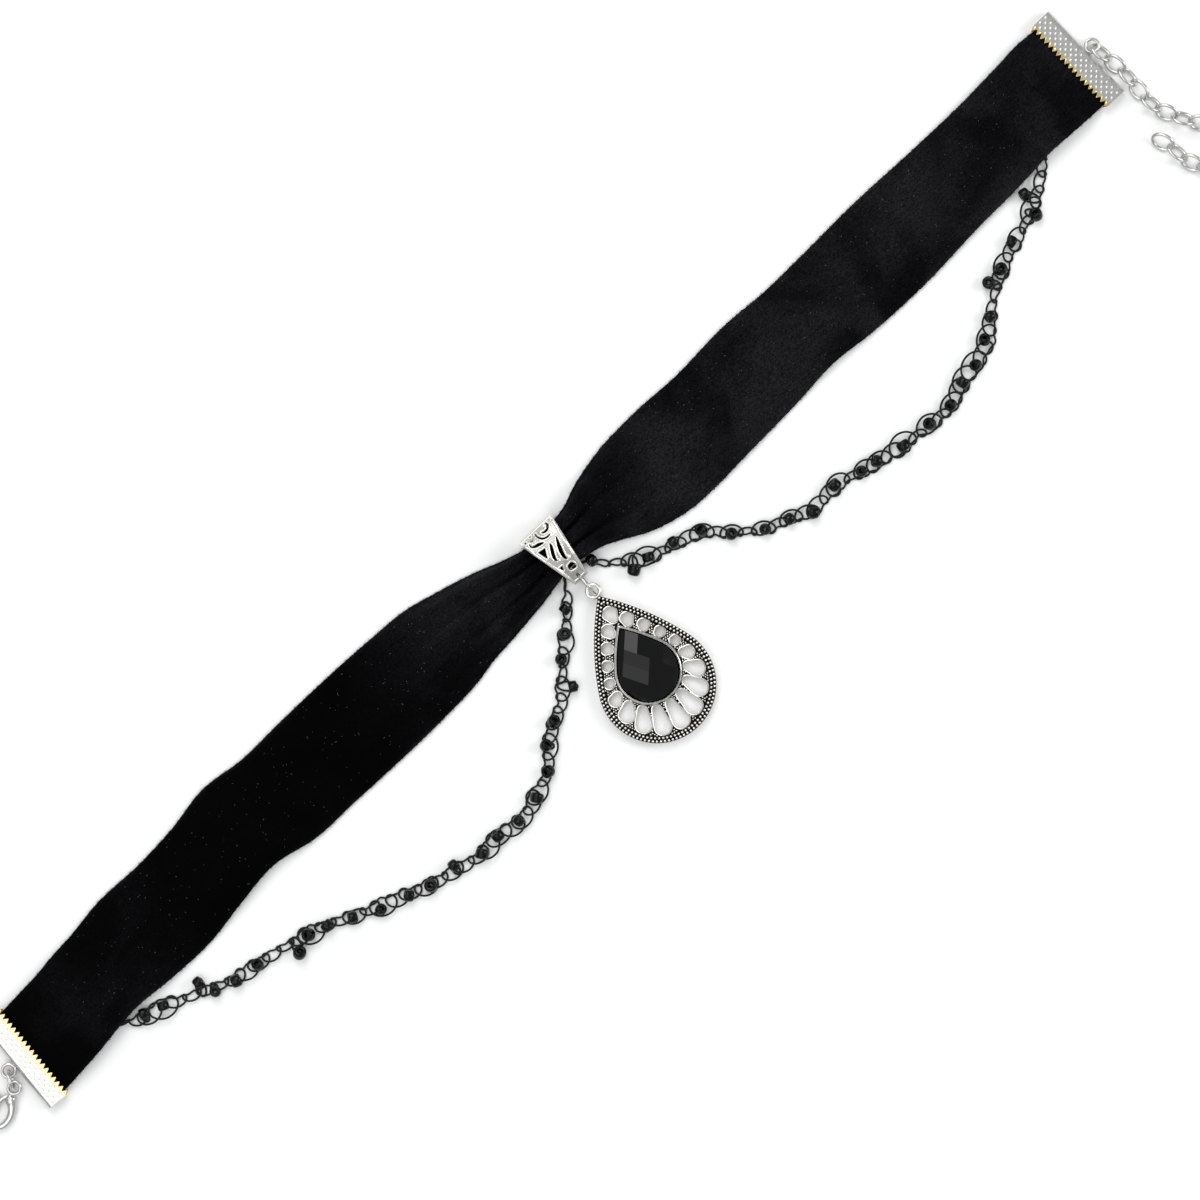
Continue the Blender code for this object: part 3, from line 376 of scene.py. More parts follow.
def remap(tree, value, low, high, start=0.0, end=1.0, kind="LINEAR"):
    """A value carried from the range start to end over to the range low to high."""
    return add_node(tree, "ShaderNodeMapRange", {"interpolation_type": kind},
                    {"From Min": start, "From Max": end, "To Min": low, "To Max": high},
                    {"Value": value}).outputs["Result"]


def maths(tree, operation, *inputs, clamp=False):
    """Arithmetic on numbers and the outputs of other nodes."""
    numbers = {i: given for i, given in enumerate(inputs) if isinstance(given, float)}
    sockets = {i: given for i, given in enumerate(inputs) if i not in numbers}
    return add_node(tree, "ShaderNodeMath", {"operation": operation, "use_clamp": clamp},
                    numbers, sockets).outputs[0]


def mix_colours(tree, shader, share, low, high):
    shade = add_node(tree, "ShaderNodeMix", {"data_type": "RGBA"},
                     {6: rgba(low), 7: rgba(high)}, {0: share})
    tree.links.new(shade.outputs[2], shader.inputs["Base Color"])


def roughen(tree, shader, value, low, high):
    tree.links.new(remap(tree, value, low, high), shader.inputs["Roughness"])


def emboss(tree, shader, height, strength, distance):
    bump = add_node(tree, "ShaderNodeBump", values={"Strength": strength, "Distance": distance},
                    links={"Height": height})
    tree.links.new(bump.outputs["Normal"], shader.inputs["Normal"])


def velvet_material(finish):
    """Cotton-backed velvet, dyed black: upright pile, so it is matt and lightest seen aslant."""
    material, tree, shader = new_material("Black cut velvet", {
        "Base Color": rgba(finish.velvet), "Roughness": 0.95, "Specular IOR Level": 0.03,
        "Sheen Weight": 0.02, "Sheen Roughness": 0.4, "Sheen Tint": rgba(finish.sheen)})
    place = place_of(tree)
    # Pile tufts stand about 0.3 mm apart; drawn at 0.4 mm so that they show.
    pile = noise(tree, place, 2500.0, 3.0)
    # Stray threads lie in the pile, about 0.25 mm wide and 3 mm long.
    slanted = add_node(tree, "ShaderNodeMapping", links={"Vector": place},
                       values={"Rotation": (0, 0, 0.5), "Scale": (330, 2600, 900)})
    strays = noise(tree, slanted.outputs["Vector"], 1.0, 2.0)
    # The pile was pressed into patches that lean together, 15 to 30 mm across.
    brushed = noise(tree, place, 48.0, 4.0, Distortion=0.6)
    patches = remap(tree, brushed, 0.25, 1.0, 0.36, 0.66, "SMOOTHSTEP")
    tips = remap(tree, maths(tree, "MULTIPLY_ADD", strays, 0.3, pile), 0.3, 1.2, 0.5, 0.84)
    # Painted sheen: the tone attribute, scaled by the patches and the tufts, mixes the black dye toward
    # a lighter colour that stands in for light on the pile.
    lean = maths(tree, "MULTIPLY", patches, tone_of(tree))
    lit = maths(tree, "MULTIPLY", lean, tips, clamp=True)
    mix_colours(tree, shader, lit, finish.velvet, finish.velvet_sheen_paint)
    emboss(tree, shader, pile, 0.6, 0.2 * MM)
    return material


def thread_material(finish):
    """Waxed cotton crochet thread: two plies twisted together, with a low gloss."""
    material, tree, shader = new_material("Black crochet cotton", {
        "Base Color": rgba(finish.thread), "Roughness": 0.6, "Specular IOR Level": 0.25,
        "Sheen Weight": 0.1, "Sheen Roughness": 0.5})
    # Plies cross the thread every 0.35 mm.
    emboss(tree, shader, noise(tree, place_of(tree), 2800.0, 1.0), 0.6, 0.08 * MM)
    return material


def bead_material(finish):
    """Opaque black seed bead glass, fire-polished: a smooth, wet-looking gloss."""
    return new_material("Jet seed bead glass", {
        "Base Color": rgba(finish.bead), "Roughness": 0.1, "IOR": 1.52, "Specular IOR Level": 0.2})[0]


def stone_material(finish):
    """Opaque black glass, ground and polished: flat facets that mirror the lamps."""
    material, tree, shader = new_material("Polished jet glass", {
        "Base Color": rgba(finish.stone), "Roughness": 0.03, "IOR": 1.5, "Specular IOR Level": 0.26})
    # Polish marks, a few millimetres across, soften some reflections.
    roughen(tree, shader, noise(tree, place_of(tree), 260.0, 3.0), 0.015, 0.07)
    return material


def bright_material(finish):
    """Rhodium-bright silver plate on pressed steel or brass, with faint handling marks."""
    material, tree, shader = new_material("Bright silver plate", {
        "Base Color": rgba(finish.bright), "Metallic": 1.0, "Roughness": 0.2})
    # Wear varies over about 1.5 mm.
    roughen(tree, shader, noise(tree, place_of(tree), 700.0, 4.0), 0.12, 0.34)
    mix_colours(tree, shader, tone_of(tree), finish.bright, finish.teeth)
    return material


def antique_material(finish):
    """Silver-plated zinc casting, blackened and rubbed back: bright ridges, dark hollows."""
    material, tree, shader = new_material("Antique silver casting", {
        "Base Color": rgba(finish.antique), "Metallic": 1.0, "Roughness": 0.3})
    place = place_of(tree)
    # Casting grain, about 0.4 mm, and rubbed patches, about 3 mm.
    grain, rubbed = noise(tree, place, 2400.0, 3.0), noise(tree, place, 320.0, 3.0)
    spread = maths(tree, "MULTIPLY_ADD", rubbed, 0.36, -0.18)
    dark = maths(tree, "ADD", tone_of(tree), spread, clamp=True)
    mix_colours(tree, shader, dark, finish.antique, finish.patina)
    roughen(tree, shader, dark, 0.22, 0.6)
    emboss(tree, shader, grain, 0.35, 0.05 * MM)
    return material


def lint_material(finish):
    """Cotton dust, short loose fibres: pale and quite matt."""
    return new_material("Cotton lint", {
        "Base Color": rgba(finish.lint), "Roughness": 0.9, "Specular IOR Level": 0.1})[0]


MATERIALS = {
    "velvet": velvet_material,
    "lint": lint_material,
    "thread": thread_material,
    "bead": bead_material,
    "stone": stone_material,
    "bright": bright_material,
    "antique": antique_material,
}


def material_of(name):
    """The named material, made on its first use."""
    scene = bpy.context.scene
    key = "choker_" + name
    if key not in scene:
        scene[key] = MATERIALS[name](scene.choker_finishes).name
    return bpy.data.materials[scene[key]]


def grid_faces(shape, wrap_rows, wrap_columns, start):
    """Four-sided faces between neighbours on grids of points, either way round closed."""
    index = np.arange(int(np.prod(shape))).reshape(shape) + start
    if wrap_rows:
        index = np.concatenate([index, index[..., :1, :]], -2)
    if wrap_columns:
        index = np.concatenate([index, index[..., :, :1]], -1)
    corners = [index[..., :-1, :-1], index[..., :-1, 1:], index[..., 1:, 1:], index[..., 1:, :-1]]
    return np.stack(corners, -1).reshape(-1, 4)


def place_piece(name, mesh):
    """Puts a mesh into the scene as a piece of the part's one body."""
    piece = bpy.data.objects.new(name, mesh)
    bpy.context.scene.collection.objects.link(piece)
    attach(piece, "root")
    return piece


def add_piece(name, parts, material, sharp=math.radians(50)):
    """Makes one object of grids of points, each with its closings and its tone: darkness on the
    castings, the tooth edge's share on the plate, painted sheen on the velvet.
    """
    points, faces, tones, start = [], [], [], 0
    for grid, wrap_rows, wrap_columns, tone in parts:
        shape = grid.shape[:-1]
        points.append(grid.reshape(-1, 3))
        faces.append(grid_faces(shape, wrap_rows, wrap_columns, start))
        tones.append(np.broadcast_to(tone, shape).reshape(-1))
        start += int(np.prod(shape))
    points, faces, tones = np.vstack(points), np.vstack(faces), np.concatenate(tones)
    mesh = bpy.data.meshes.new(name)
    mesh.from_pydata(points.tolist(), [], faces.tolist())
    mesh.attributes.new("tone", "FLOAT", "POINT").data.foreach_set("value", tones.astype(np.float32))
    shell = bmesh.new()
    shell.from_mesh(mesh)
    bmesh.ops.remove_doubles(shell, verts=shell.verts, dist=1e-7)
    bmesh.ops.recalc_face_normals(shell, faces=shell.faces)
    shell.to_mesh(mesh)
    shell.free()
    mesh.shade_smooth()
    mesh.set_sharp_from_angle(angle=sharp)
    mesh.materials.append(material_of(material))
    return place_piece(name, mesh)


def unit(ways):
    return ways / np.maximum(np.linalg.norm(ways, axis=-1, keepdims=True), 1e-9)


def distances(line):
    """How far along a line each of its points lies."""
    return np.concatenate([[0], np.cumsum(np.linalg.norm(np.diff(line, axis=0), axis=1))])


def sample(at, along, rows):
    """Each column of a table, read at other places along it."""
    return np.stack([np.interp(at, along, column) for column in rows.T], 1)


def full_turn(steps):
    return np.linspace(0, 2 * math.pi, steps, endpoint=False)


def smooth_rows(rows, at):
    """Cubic pieces through table rows: value and slope both run on from row to row."""
    x, y = rows[:, 0], rows[:, 1:]
    slope = np.gradient(y, x, axis=0)
    i = np.clip(np.searchsorted(x, at) - 1, 0, len(x) - 2)
    step = (x[i + 1] - x[i])[:, None]
    t = ((at - x[i]) / (x[i + 1] - x[i]))[:, None]
    return ((1 + 2 * t) * (1 - t) ** 2 * y[i] + t * (1 - t) ** 2 * step * slope[i]
            + t**2 * (3 - 2 * t) * y[i + 1] + t**2 * (t - 1) * step * slope[i + 1])


def smooth_path(points, step):
    """Points a step apart on a cubic curve through the given ones."""
    p = np.array(points, float)
    ends = np.vstack([2 * p[0] - p[1], p, 2 * p[-1] - p[-2]])
    t = np.linspace(0, 1, 24, endpoint=False)[:, None, None]
    a, b, c, d = (ends[i : i + len(p) - 1] for i in range(4))
    fine = 0.5 * (2 * b + (c - a) * t + (2 * a - 5 * b + 4 * c - d) * t**2
                  + (3 * b - a - 3 * c + d) * t**3)
    fine = np.vstack([fine.transpose(1, 0, 2).reshape(-1, p.shape[1]), p[-1:]])
    along = distances(fine)
    return sample(np.linspace(0, along[-1], max(2, round(along[-1] / step) + 1)), along, fine)


def evenly(outline, count):
    """Points equally far apart round a closed outline."""
    whole = np.vstack([outline, outline[:1]])
    along = distances(whole)
    return sample(np.linspace(0, along[-1], count, endpoint=False), along, whole)


def even_loop(outline, count):
    """A closed outline with its points equally far apart and its corners eased by averaging."""
    loop = evenly(outline, count)
    for _ in range(4):
        loop = (np.roll(loop, 1, 0) + 2 * loop + np.roll(loop, -1, 0)) / 4
    return loop


def tube(path, radius, sides, closed=False, flat=1.0):
    """A round or flattened profile carried along a path, its flat side kept level.

    A point is the path plus radius times (cos a sideways + flat sin a upwards), where sideways
    is square to the path and level.
    """
    ahead = np.roll(path, -1, 0) - np.roll(path, 1, 0) if closed else np.gradient(path, axis=0)
    ahead = unit(ahead)
    side = unit(np.cross(ahead, (0.0, 0.0, 1.0)))
    up = np.cross(side, ahead)
    turn = full_turn(sides)[None, :, None]
    size = np.broadcast_to(radius, len(path))[:, None, None]
    grid = path[:, None] + size * (np.cos(turn) * side[:, None] + flat * np.sin(turn) * up[:, None])
    if not closed:
        grid = np.concatenate([np.broadcast_to(path[0], grid[:1].shape), grid,
                               np.broadcast_to(path[-1], grid[:1].shape)])
    return grid


def domes(middles, radius, rows=4, columns=9, height=1.0):
    """Half balls standing on their middles: radius times (cos b cos a, cos b sin a, sin b)."""
    lift = np.linspace(-0.35, math.pi / 2, rows)[:, None]
    turn = full_turn(columns)
    ball = np.stack([np.cos(lift) * np.cos(turn), np.cos(lift) * np.sin(turn),
                     height * np.broadcast_to(np.sin(lift), (rows, columns))], -1)
    ball = np.concatenate([np.broadcast_to(ball[0].mean(0), ball[:1].shape), ball])
    size = np.broadcast_to(radius, len(middles))[:, None, None, None]
    return middles[:, None, None] + size * ball


def ring_grid(middle, along, side, reach, half, wire, steps=64, sides=14):
    """A round wire bent to an oval of the given half lengths.

    The oval is reach cos t along and half sin t sideways. A point is the oval plus the wire's
    radius times (cos b outwards + sin b along the oval's normal).
    """
    along, side = np.array(along, float), np.array(side, float)
    normal = np.cross(along, side)
    t = ((np.arange(steps) + 0.5) / steps * 2 * math.pi)[:, None]
    line = np.array(middle) + reach * np.cos(t) * along + half * np.sin(t) * side
    out = unit(np.cos(t) / reach * along + np.sin(t) / half * side)
    b = full_turn(sides)[None, :, None]
    return line[:, None] + wire / 2 * (np.cos(b) * out[:, None] + np.sin(b) * normal)


def points_of(mesh):
    flat = np.empty(len(mesh.vertices) * 3, np.float32)
    mesh.vertices.foreach_get("co", flat)
    return flat.reshape(-1, 3).astype(float)


def node_axes(name):
    """A solid's middle and its axes, longest first, from the spread of its points."""
    points = np.unique(points_of(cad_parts[name].data).round(7), axis=0)
    middle = points.mean(0)
    return middle, np.linalg.svd(points - middle, full_matrices=False)[2]


def swing_for(share):
    """The swing of a wave of cloth whose width is the given share of its length along the cloth."""
    phase = (np.arange(64) + 0.5) / 64 * math.pi
    swings = np.linspace(0, 2.2, 200)
    shares = np.cos(swings[:, None] * np.sin(phase)).mean(1)
    return np.interp(share, shares[::-1], swings[::-1])


def ribbon_grid(rows, columns, pleat):
    """The middle of the band's wall and its upward direction, row by row.

    Across the band the cloth's slope is swing times sin(2 pi folds u), and its height and width
    are the sums of the slope's sine and cosine. Fine pleats add pleat times sin(2 pi pleats u)
    where the band is gathered.
    """
    tuck = RIBBON_TUCK / RIBBON_LENGTH
    along = np.linspace(-tuck, 1 + tuck, rows)
    inside = np.clip(along, 0, 1)
    middle, width, *others = smooth_rows(np.array(RIBBON_SECTIONS), inside).T
    width, middle = width * RIBBON_WIDTH, middle * RIBBON_WIDTH
    fold, low, up, seat = np.clip(others, 0, 1)
    rest = seat * np.where(np.abs(along - 0.5) < 0.25, BAIL_LIFT, CRIMP_LIFT)
    cloth = width + fold * (RIBBON_WIDTH - width)
    swing = swing_for(np.minimum(1, width / cloth))[:, None]
    fine = 8
    u = np.linspace(0, 1, (columns - 1) * fine + 1)
    slope = swing * np.sin(2 * math.pi * FOLDS * (u[1:] + u[:-1]) / 2)
    step = (cloth / (len(u) - 1))[:, None]
    across, height = (np.hstack([np.zeros((rows, 1)), np.cumsum(part, 1)])[:, ::fine] * step
                      for part in (np.cos(slope), np.sin(slope)))
    across *= width[:, None] / across[:, -1:]
    u = u[::fine]
    angle = swing * np.sin(2 * math.pi * FOLDS * u)
    gathered = (np.clip(1 - np.abs(along - BAIL_SHARE) / PLEAT_REACH, 0, 1) * fold)[:, None]
    # The pleats wander from side to side along the band.
    wander = 1.3 * np.sin(along * 9.0)[:, None]
    height = height + pleat * gathered * np.sin(2 * math.pi * PLEATS * u + wander) * np.sin(math.pi * u)
    lift = ((rest + low * RIBBON_WIDTH)[:, None]
            + (up - low)[:, None] * RIBBON_WIDTH * across / width[:, None])
    y = (middle - width / 2)[:, None] + across
    # The left end follows its crimp's slant.
    shear = math.tan(CRIMP_SLANT) * np.clip(1 - inside * 12, 0, 1)[:, None]
    x = LEFT_TEETH + along[:, None] * RIBBON_LENGTH + shear * (y - middle[:, None])
    core = np.stack([x, y, lift + height + RIBBON_WALL / 2], -1)
    return core, np.stack([np.zeros_like(angle), -np.sin(angle), np.cos(angle)], -1)


def fibres(roots, ways, lengths, thickness):
    """Thin pointed hairs: three points round a root and one at the tip, four faces each."""
    turn = full_turn(3)[None, :, None]
    side = unit(np.cross(ways, (0.3, 0.2, 0.93)))
    other = np.cross(ways, side)
    foot = roots[:, None] + thickness * (np.cos(turn) * side[:, None] + np.sin(turn) * other[:, None])
    tip = np.broadcast_to((roots + ways * lengths[:, None])[:, None], foot.shape)
    low = np.broadcast_to(roots[:, None], foot.shape)
    return np.stack([low, foot, tip], 1)


def closed_wall(upper, lower):
    """One closed skin of a wall's two faces, both ends drawn together at its middle."""
    middle = (upper[[0, -1]] + lower[[0, -1]]) / 2
    ends = np.concatenate([middle, middle[:, ::-1]], 1)
    return np.concatenate([ends[:1], np.concatenate([upper, lower[:, ::-1]], 1), ends[1:]])


def edge_hairs(edge, outward, sizes, chance):
    """Tufts of pile leaning out from one edge of the band."""
    at = chance.uniform(8, len(edge) - 9, sizes.tufts)
    i = at.astype(int)
    roots = edge[i] + (edge[i + 1] - edge[i]) * (at - i)[:, None]
    roots[:, 2] += chance.uniform(-0.15, 0.4, len(roots)) * RIBBON_WALL
    roots[:, 1] -= outward * TUFT_ROOT
    ways = unit(np.stack([chance.normal(0, 0.45, len(roots)), np.full(len(roots), outward),
                          chance.normal(0.15, 0.35, len(roots))], 1))
    # Tufts clump: their length swells and shrinks along the edge.
    clump = 0.55 + 0.45 * np.sin(at * 1.9) * np.sin(at * 0.71 + 1.0)
    lengths = sizes.pile * clump * chance.uniform(0.2, 1.0, len(roots)) + TUFT_LEAST
    hairs = fibres(roots, ways, lengths, HAIR)
    hairs[..., 2] = np.maximum(hairs[..., 2], 0.02 * MM)
    return hairs


def dust_hairs(core, normal, chance):
    """Short fibres lying every way on the pile."""
    row = chance.integers(30, len(core) - 30, LINT_COUNT)
    column = chance.integers(3, core.shape[1] - 3, LINT_COUNT)
    roots = core[row, column] + normal[row, column] * (RIBBON_WALL / 2 + 0.05 * MM)
    turn = chance.uniform(0, 2 * math.pi, LINT_COUNT)
    ways = unit(np.stack([np.cos(turn), np.sin(turn), np.full(LINT_COUNT, 0.12)], 1))
    return fibres(roots, ways, 0.12 * MM + chance.exponential(0.12, LINT_COUNT) * MM, LINT_THICK)


class CHOKER_OT_ribbon(Operator):
    """The velvet band with the tufts along its edges and the dust in its pile"""

    bl_idname = "choker.ribbon"
    bl_label = "Velvet Ribbon"

    def execute(self, context):
        sizes = context.scene.choker_sizes
        chance = np.random.default_rng(4)
        core, normal = ribbon_grid(RIBBON_ROWS, RIBBON_COLUMNS, sizes.pleat)
        # The edges are a little thinner than the middle, as a woven edge is.
        u = np.linspace(0, 1, RIBBON_COLUMNS)
        selvedge = np.exp(-np.minimum(u, 1 - u) / SELVEDGE)
        thick = RIBBON_WALL / 2 * (1 - 0.45 * selvedge)[None, :, None]
        grid = closed_wall(core - normal * thick, core + normal * thick)
        # Painted sheen: the right half is painted lighter, as if its pile leaned toward the main lamp,
        # and the left half darker; the folded cloth beside the bail and a strip near the left end get
        # lighter painted bands where the cloth catches light.
        along = np.linspace(0, 1, len(grid))
        painted_sheen = 0.06 + 0.75 / (1 + np.exp((BAIL_SHARE - along) / 0.02))
        for height, place, spread in ((0.5, 0.43, 0.05), (0.22, 0.07, 0.06)):
            painted_sheen += height * np.exp(-(((along - place) / spread) ** 2))
        # The sides of the gathers show the pile's flank; they are painted lighter, a painted sheen set
        # by their slope.
        steep = np.hstack([normal[..., 1], normal[:, ::-1, 1]]) ** 2
        steep = np.concatenate([steep[:1], steep, steep[-1:]])
        # The woven selvedge has no pile and shines a little; that shine is painted as a lighter colour.
        tone = painted_sheen[:, None] + 0.7 * steep + np.concatenate([selvedge, selvedge])
        ribbon = add_piece("velvet_ribbon", [(grid, False, True, tone)], "velvet",
                           math.radians(70))
        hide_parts("ribbon")

        # The edge tufts take half of the painted sheen.
        parts = [(edge_hairs(core[:, column], outward, sizes, chance), False, True, 0.5)
                 for column, outward in ((0, -1.0), (-1, 1.0))]
        tufts = add_piece("ribbon_edge_tufts", parts, "velvet", math.pi)
        dust = dust_hairs(core, normal, chance)
        lint = add_piece("ribbon_lint", [(dust, False, True, 0.0)], "lint", math.pi)

        return {"FINISHED"}


def crimp_grid(sizes):
    """A folded plate with dotted faces and a toothed edge, fold at X = 0 and teeth toward +X.

    The outer line runs from the upper teeth round the fold, a half circle as high as the crimp,
    to the lower teeth, and the inner line comes back a plate's thickness inside it. Dots add
    their height times exp(-(distance / radius)^2) on a square lattice turned by 45 degrees, and
    the teeth shorten both lines in a triangle wave along Y. Both ends close on the wall's middle.
    """
    outer, inner = CRIMP_HEIGHT / 2, CRIMP_HEIGHT / 2 - CRIMP_PLATE
    y = np.linspace(-CRIMP_LENGTH / 2, CRIMP_LENGTH / 2, CRIMP_TEETH * 12 + 1)
    phase = (y + CRIMP_LENGTH / 2) / (CRIMP_LENGTH / CRIMP_TEETH)
    bite = np.maximum(0, 1 - np.abs(phase - np.round(phase)) / TOOTH_GAP)
    reach = (CRIMP_DEPTH - TOOTH_HEIGHT * bite)[:, None]
    flat = np.linspace(1, 0, 44)[None]
    turn = np.linspace(math.pi / 2, 3 * math.pi / 2, 12)[1:-1]

    def line(radius):
        x = outer + flat * (reach - outer)
        top = np.stack([x, np.full(x.shape, outer + radius)], -1)
        fold = np.stack([outer + radius * np.cos(turn), outer + radius * np.sin(turn)], -1)
        low = np.stack([x, np.full(x.shape, outer - radius)], -1)[:, ::-1]
        return np.concatenate([top, np.broadcast_to(fold, (len(y), *fold.shape)), low], 1)

    across = closed_wall(line(outer), line(inner))
    y, reach = np.pad(y, 1, "edge"), np.pad(reach, ((1, 1), (0, 0)), "edge")
    x, z = across[..., 0], across[..., 1]
    wide = np.broadcast_to(y[:, None], x.shape)
    a, b = (x + wide) / math.sqrt(2) / sizes.dot_pitch, (x - wide) / math.sqrt(2) / sizes.dot_pitch
    far = np.hypot(a - np.round(a), b - np.round(b)) * sizes.dot_pitch
    edge = CRIMP_LENGTH / 2 - np.abs(wide)
    clear = np.clip(np.minimum(np.minimum(reach - x, x - 0.5 * MM), edge) / DOT_CLEAR, 0, 1)
    # Dots rise on the upper face, sink on the lower one, and the inner line has none.
    place, count = np.arange(x.shape[1]), x.shape[1] // 2
    sign = np.where(place < count / 2, 1.0, -1.0) * (place < count)
    lifted = z + sizes.dot_height * np.exp(-((far / DOT_RADIUS) ** 2)) * clear * sign
    tone = np.clip(1 - (reach - x) / (1.3 * MM), 0, 1)
    return np.stack([x, wide, np.maximum(lifted, 0)], -1), tone


class CHOKER_OT_crimps(Operator):
    """Both pressed ribbon crimps with their soldered loops"""

    bl_idname = "choker.crimps"
    bl_label = "Ribbon Crimps"

    def execute(self, context):
        sizes = context.scene.choker_sizes
        grid, tone = crimp_grid(sizes)
        for name, (teeth, middle, turn) in CRIMP_PLACES.items():
            c, s = math.cos(turn), math.sin(turn)
            spin = np.array([(c, s, 0), (-s, c, 0), (0, 0, 1)])
            plate, eye = ((part - (CRIMP_DEPTH, 0, 0)) @ spin + (teeth, middle, 0)
                          for part in (grid, np.array([-LOOP_OUT, 0, LINK_UP])))
            loop = ring_grid(eye, spin[0], spin[1], CRIMP_LOOP, CRIMP_LOOP, LOOP_WIRE)
            crimp = add_piece(name + "_plate", [(plate, False, True, tone), (loop, True, True, 0.0)],
                              "bright")
            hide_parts(name)
        return {"FINISHED"}


class CHOKER_OT_rings(Operator):
    """The extender chain's oval links and the round jump rings"""

    bl_idname = "choker.rings"
    bl_label = "Chain and Rings"

    def execute(self, context):
        names = [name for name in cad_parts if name.startswith("chain_link")]
        if not names:
            raise RuntimeError("the frame has no chain links")
        shapes = {name: (LINK_REACH, LINK_HALF) for name in names}
        shapes["ring_left"] = (RING_LEFT, RING_LEFT)
        shapes["pendant_ring"] = (PENDANT_RING, PENDANT_RING)
        for name, (reach, half) in shapes.items():
            middle, axes = node_axes(name)
            grid = ring_grid(middle, axes[0], axes[1], reach, half, RING_WIRE)
            ring = add_piece(name + "_wire", [(grid, True, True, 0.0)], "bright")
            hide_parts(name)
        return {"FINISHED"}


class CHOKER_OT_clasp(Operator):
    """The claw clasp: an eye, a hooked body and a lever"""

    bl_idname = "choker.clasp"
    bl_label = "Claw Clasp"

    def execute(self, context):
        eye = np.array(CLASP_EYE_PLACE)
        along = np.array([math.cos(CLASP_TURN), math.sin(CLASP_TURN), 0])
        side = np.array([-along[1], along[0], 0])

        def placed(rows):
            x, y, z = (np.array(rows)[:, k : k + 1] * MM for k in range(3))
            return np.array([eye[0], eye[1], 0]) + x * along + y * side + z * (0, 0, 1)

        parts = [(ring_grid(eye, along, side, CLASP_EYE, CLASP_EYE, LOOP_WIRE), True, True, 0.0)]
        for rows, flat in CLASP_FORMS:
            fine = smooth_path(rows, 0.15)
            radius = fine[:, 3] * MM
            parts.append((tube(placed(fine[:, :3]), radius, 14, flat=flat), False, True, 0.0))
        parts.append((domes(placed([(2.7, 0.0, 2.05)]), 0.45 * MM, 5, 14, 0.6), False, True, 0.0))
        clasp = add_piece("claw_clasp", parts, "bright")
        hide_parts("clasp")
        return {"FINISHED"}


def bail_front(y):
    """Height of the bail's front face over a place along it."""
    rows = np.array(BAIL_FRONT)
    return np.interp((BAIL_TOP - y) / BAIL_LENGTH, rows[:, 0], rows[:, 1]) * BAIL_HEIGHT


def on_bail(across, along, lift=0.0):
    """A place on the bail's front from a share of its half width and a share of its length."""
    y = BAIL_TOP - np.asarray(along) * BAIL_LENGTH
    x = np.asarray(across) * BAIL_WIDE / 2
    return np.stack([x, y, bail_front(y) + lift], -1)


def stroke_outline(rows, grow):
    """The closed outline of a stroke, its half widths grown by an amount."""
    path = np.array([(a * BAIL_WIDE / 2, BAIL_TOP - d * BAIL_LENGTH, w * BAIL_WALL) for a, d, w in rows])
    fine = smooth_path(path, np.linalg.norm(np.diff(path[:, :2], axis=0), axis=1).sum() / 22)
    ahead = unit(np.gradient(fine[:, :2], axis=0))
    wide = np.maximum(fine[:, 2:3], 0) + grow
    side = np.stack([-ahead[:, 1], ahead[:, 0]], 1) * wide
    outline = np.vstack([fine[:, :2] + side, (fine[:, :2] - side)[::-1]])
    return even_loop(outline, 44)


def casting_of(name, bevel):
    """A copy of a solid with its points merged and its edges rounded, as a casting's are."""
    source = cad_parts[name]
    mesh = source.data.copy()
    mesh.materials.clear()
    mesh.materials.append(material_of("antique"))
    shell = bmesh.new()
    shell.from_mesh(mesh)
    bmesh.ops.remove_doubles(shell, verts=shell.verts, dist=1e-6)
    bmesh.ops.dissolve_limit(shell, angle_limit=math.radians(1), verts=shell.verts, edges=shell.edges)
    shell.to_mesh(mesh)
    shell.free()
    mesh.shade_smooth()
    mesh.set_sharp_from_angle(angle=CASTING_EDGE)
    tone = mesh.attributes.new("tone", "FLOAT", "POINT")
    piece = place_piece(name + "_casting", mesh)
    softened = piece.modifiers.new("Softened edges", "BEVEL")
    softened.width = bevel
    softened.segments = 2
    softened.limit_method = "ANGLE"
    softened.angle_limit = CASTING_EDGE
    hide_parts(name)
    return piece, tone


class CHOKER_OT_bail(Operator):
    """The pierced bail with its raised scrolls and border rails"""

    bl_idname = "choker.bail"
    bl_label = "Scrollwork Bail"

    def execute(self, context):
        bail, tone = casting_of("bail", 0.12 * MM)
        tone.data.foreach_set("value", np.full(len(bail.data.vertices), 0.34, np.float32))
        parts = []
        for rows in BAIL_OPENINGS.values():
            outline = stroke_outline(rows, SCROLL_GROW)
            path = np.column_stack([outline, bail_front(outline[:, 1]) + WIRE_SINK])
            parts.append((tube(path, SCROLL_WIRE, 10, closed=True, flat=0.8), True, True, 0.05))
        along = np.linspace(0.02, 0.97, 40)
        half = (BAIL_WIDE + (BAIL_NARROW - BAIL_WIDE) * along) / BAIL_WIDE
        for side in (-1, 1):
            path = on_bail(side * (half - RAIL_INSET), along, WIRE_SINK)
            parts.append((tube(path, RAIL_WIRE, 12, flat=0.7), False, True, 0.0))
        mouth = np.linspace(-1, 1, 24)
        for place, reach in MOUTH_RAILS:
            path = on_bail(mouth * reach, np.full(24, place))
            parts.append((tube(path, MOUTH_WIRE, 10, flat=0.7), False, True, 0.05))
        across, place, radius = np.array(SCROLL_ENDS).T
        balls = on_bail(across, place, -0.05 * MM)
        parts.append((domes(balls, radius * MM, 6, 14), False, True, 0.0))
        add_piece("bail_scrolls", parts, "antique")
        return {"FINISHED"}


def pear_arcs(size):
    """A pear's round end, radius and distance from the tip, and the middle of its flank's arc."""
    full, width, side = size[:3]
    r = width / 2
    reach = full - r
    cx = (reach**2 - r**2 + 2 * side * r) / (2 * reach)
    return r, reach, cx, math.sqrt(side**2 - cx**2)


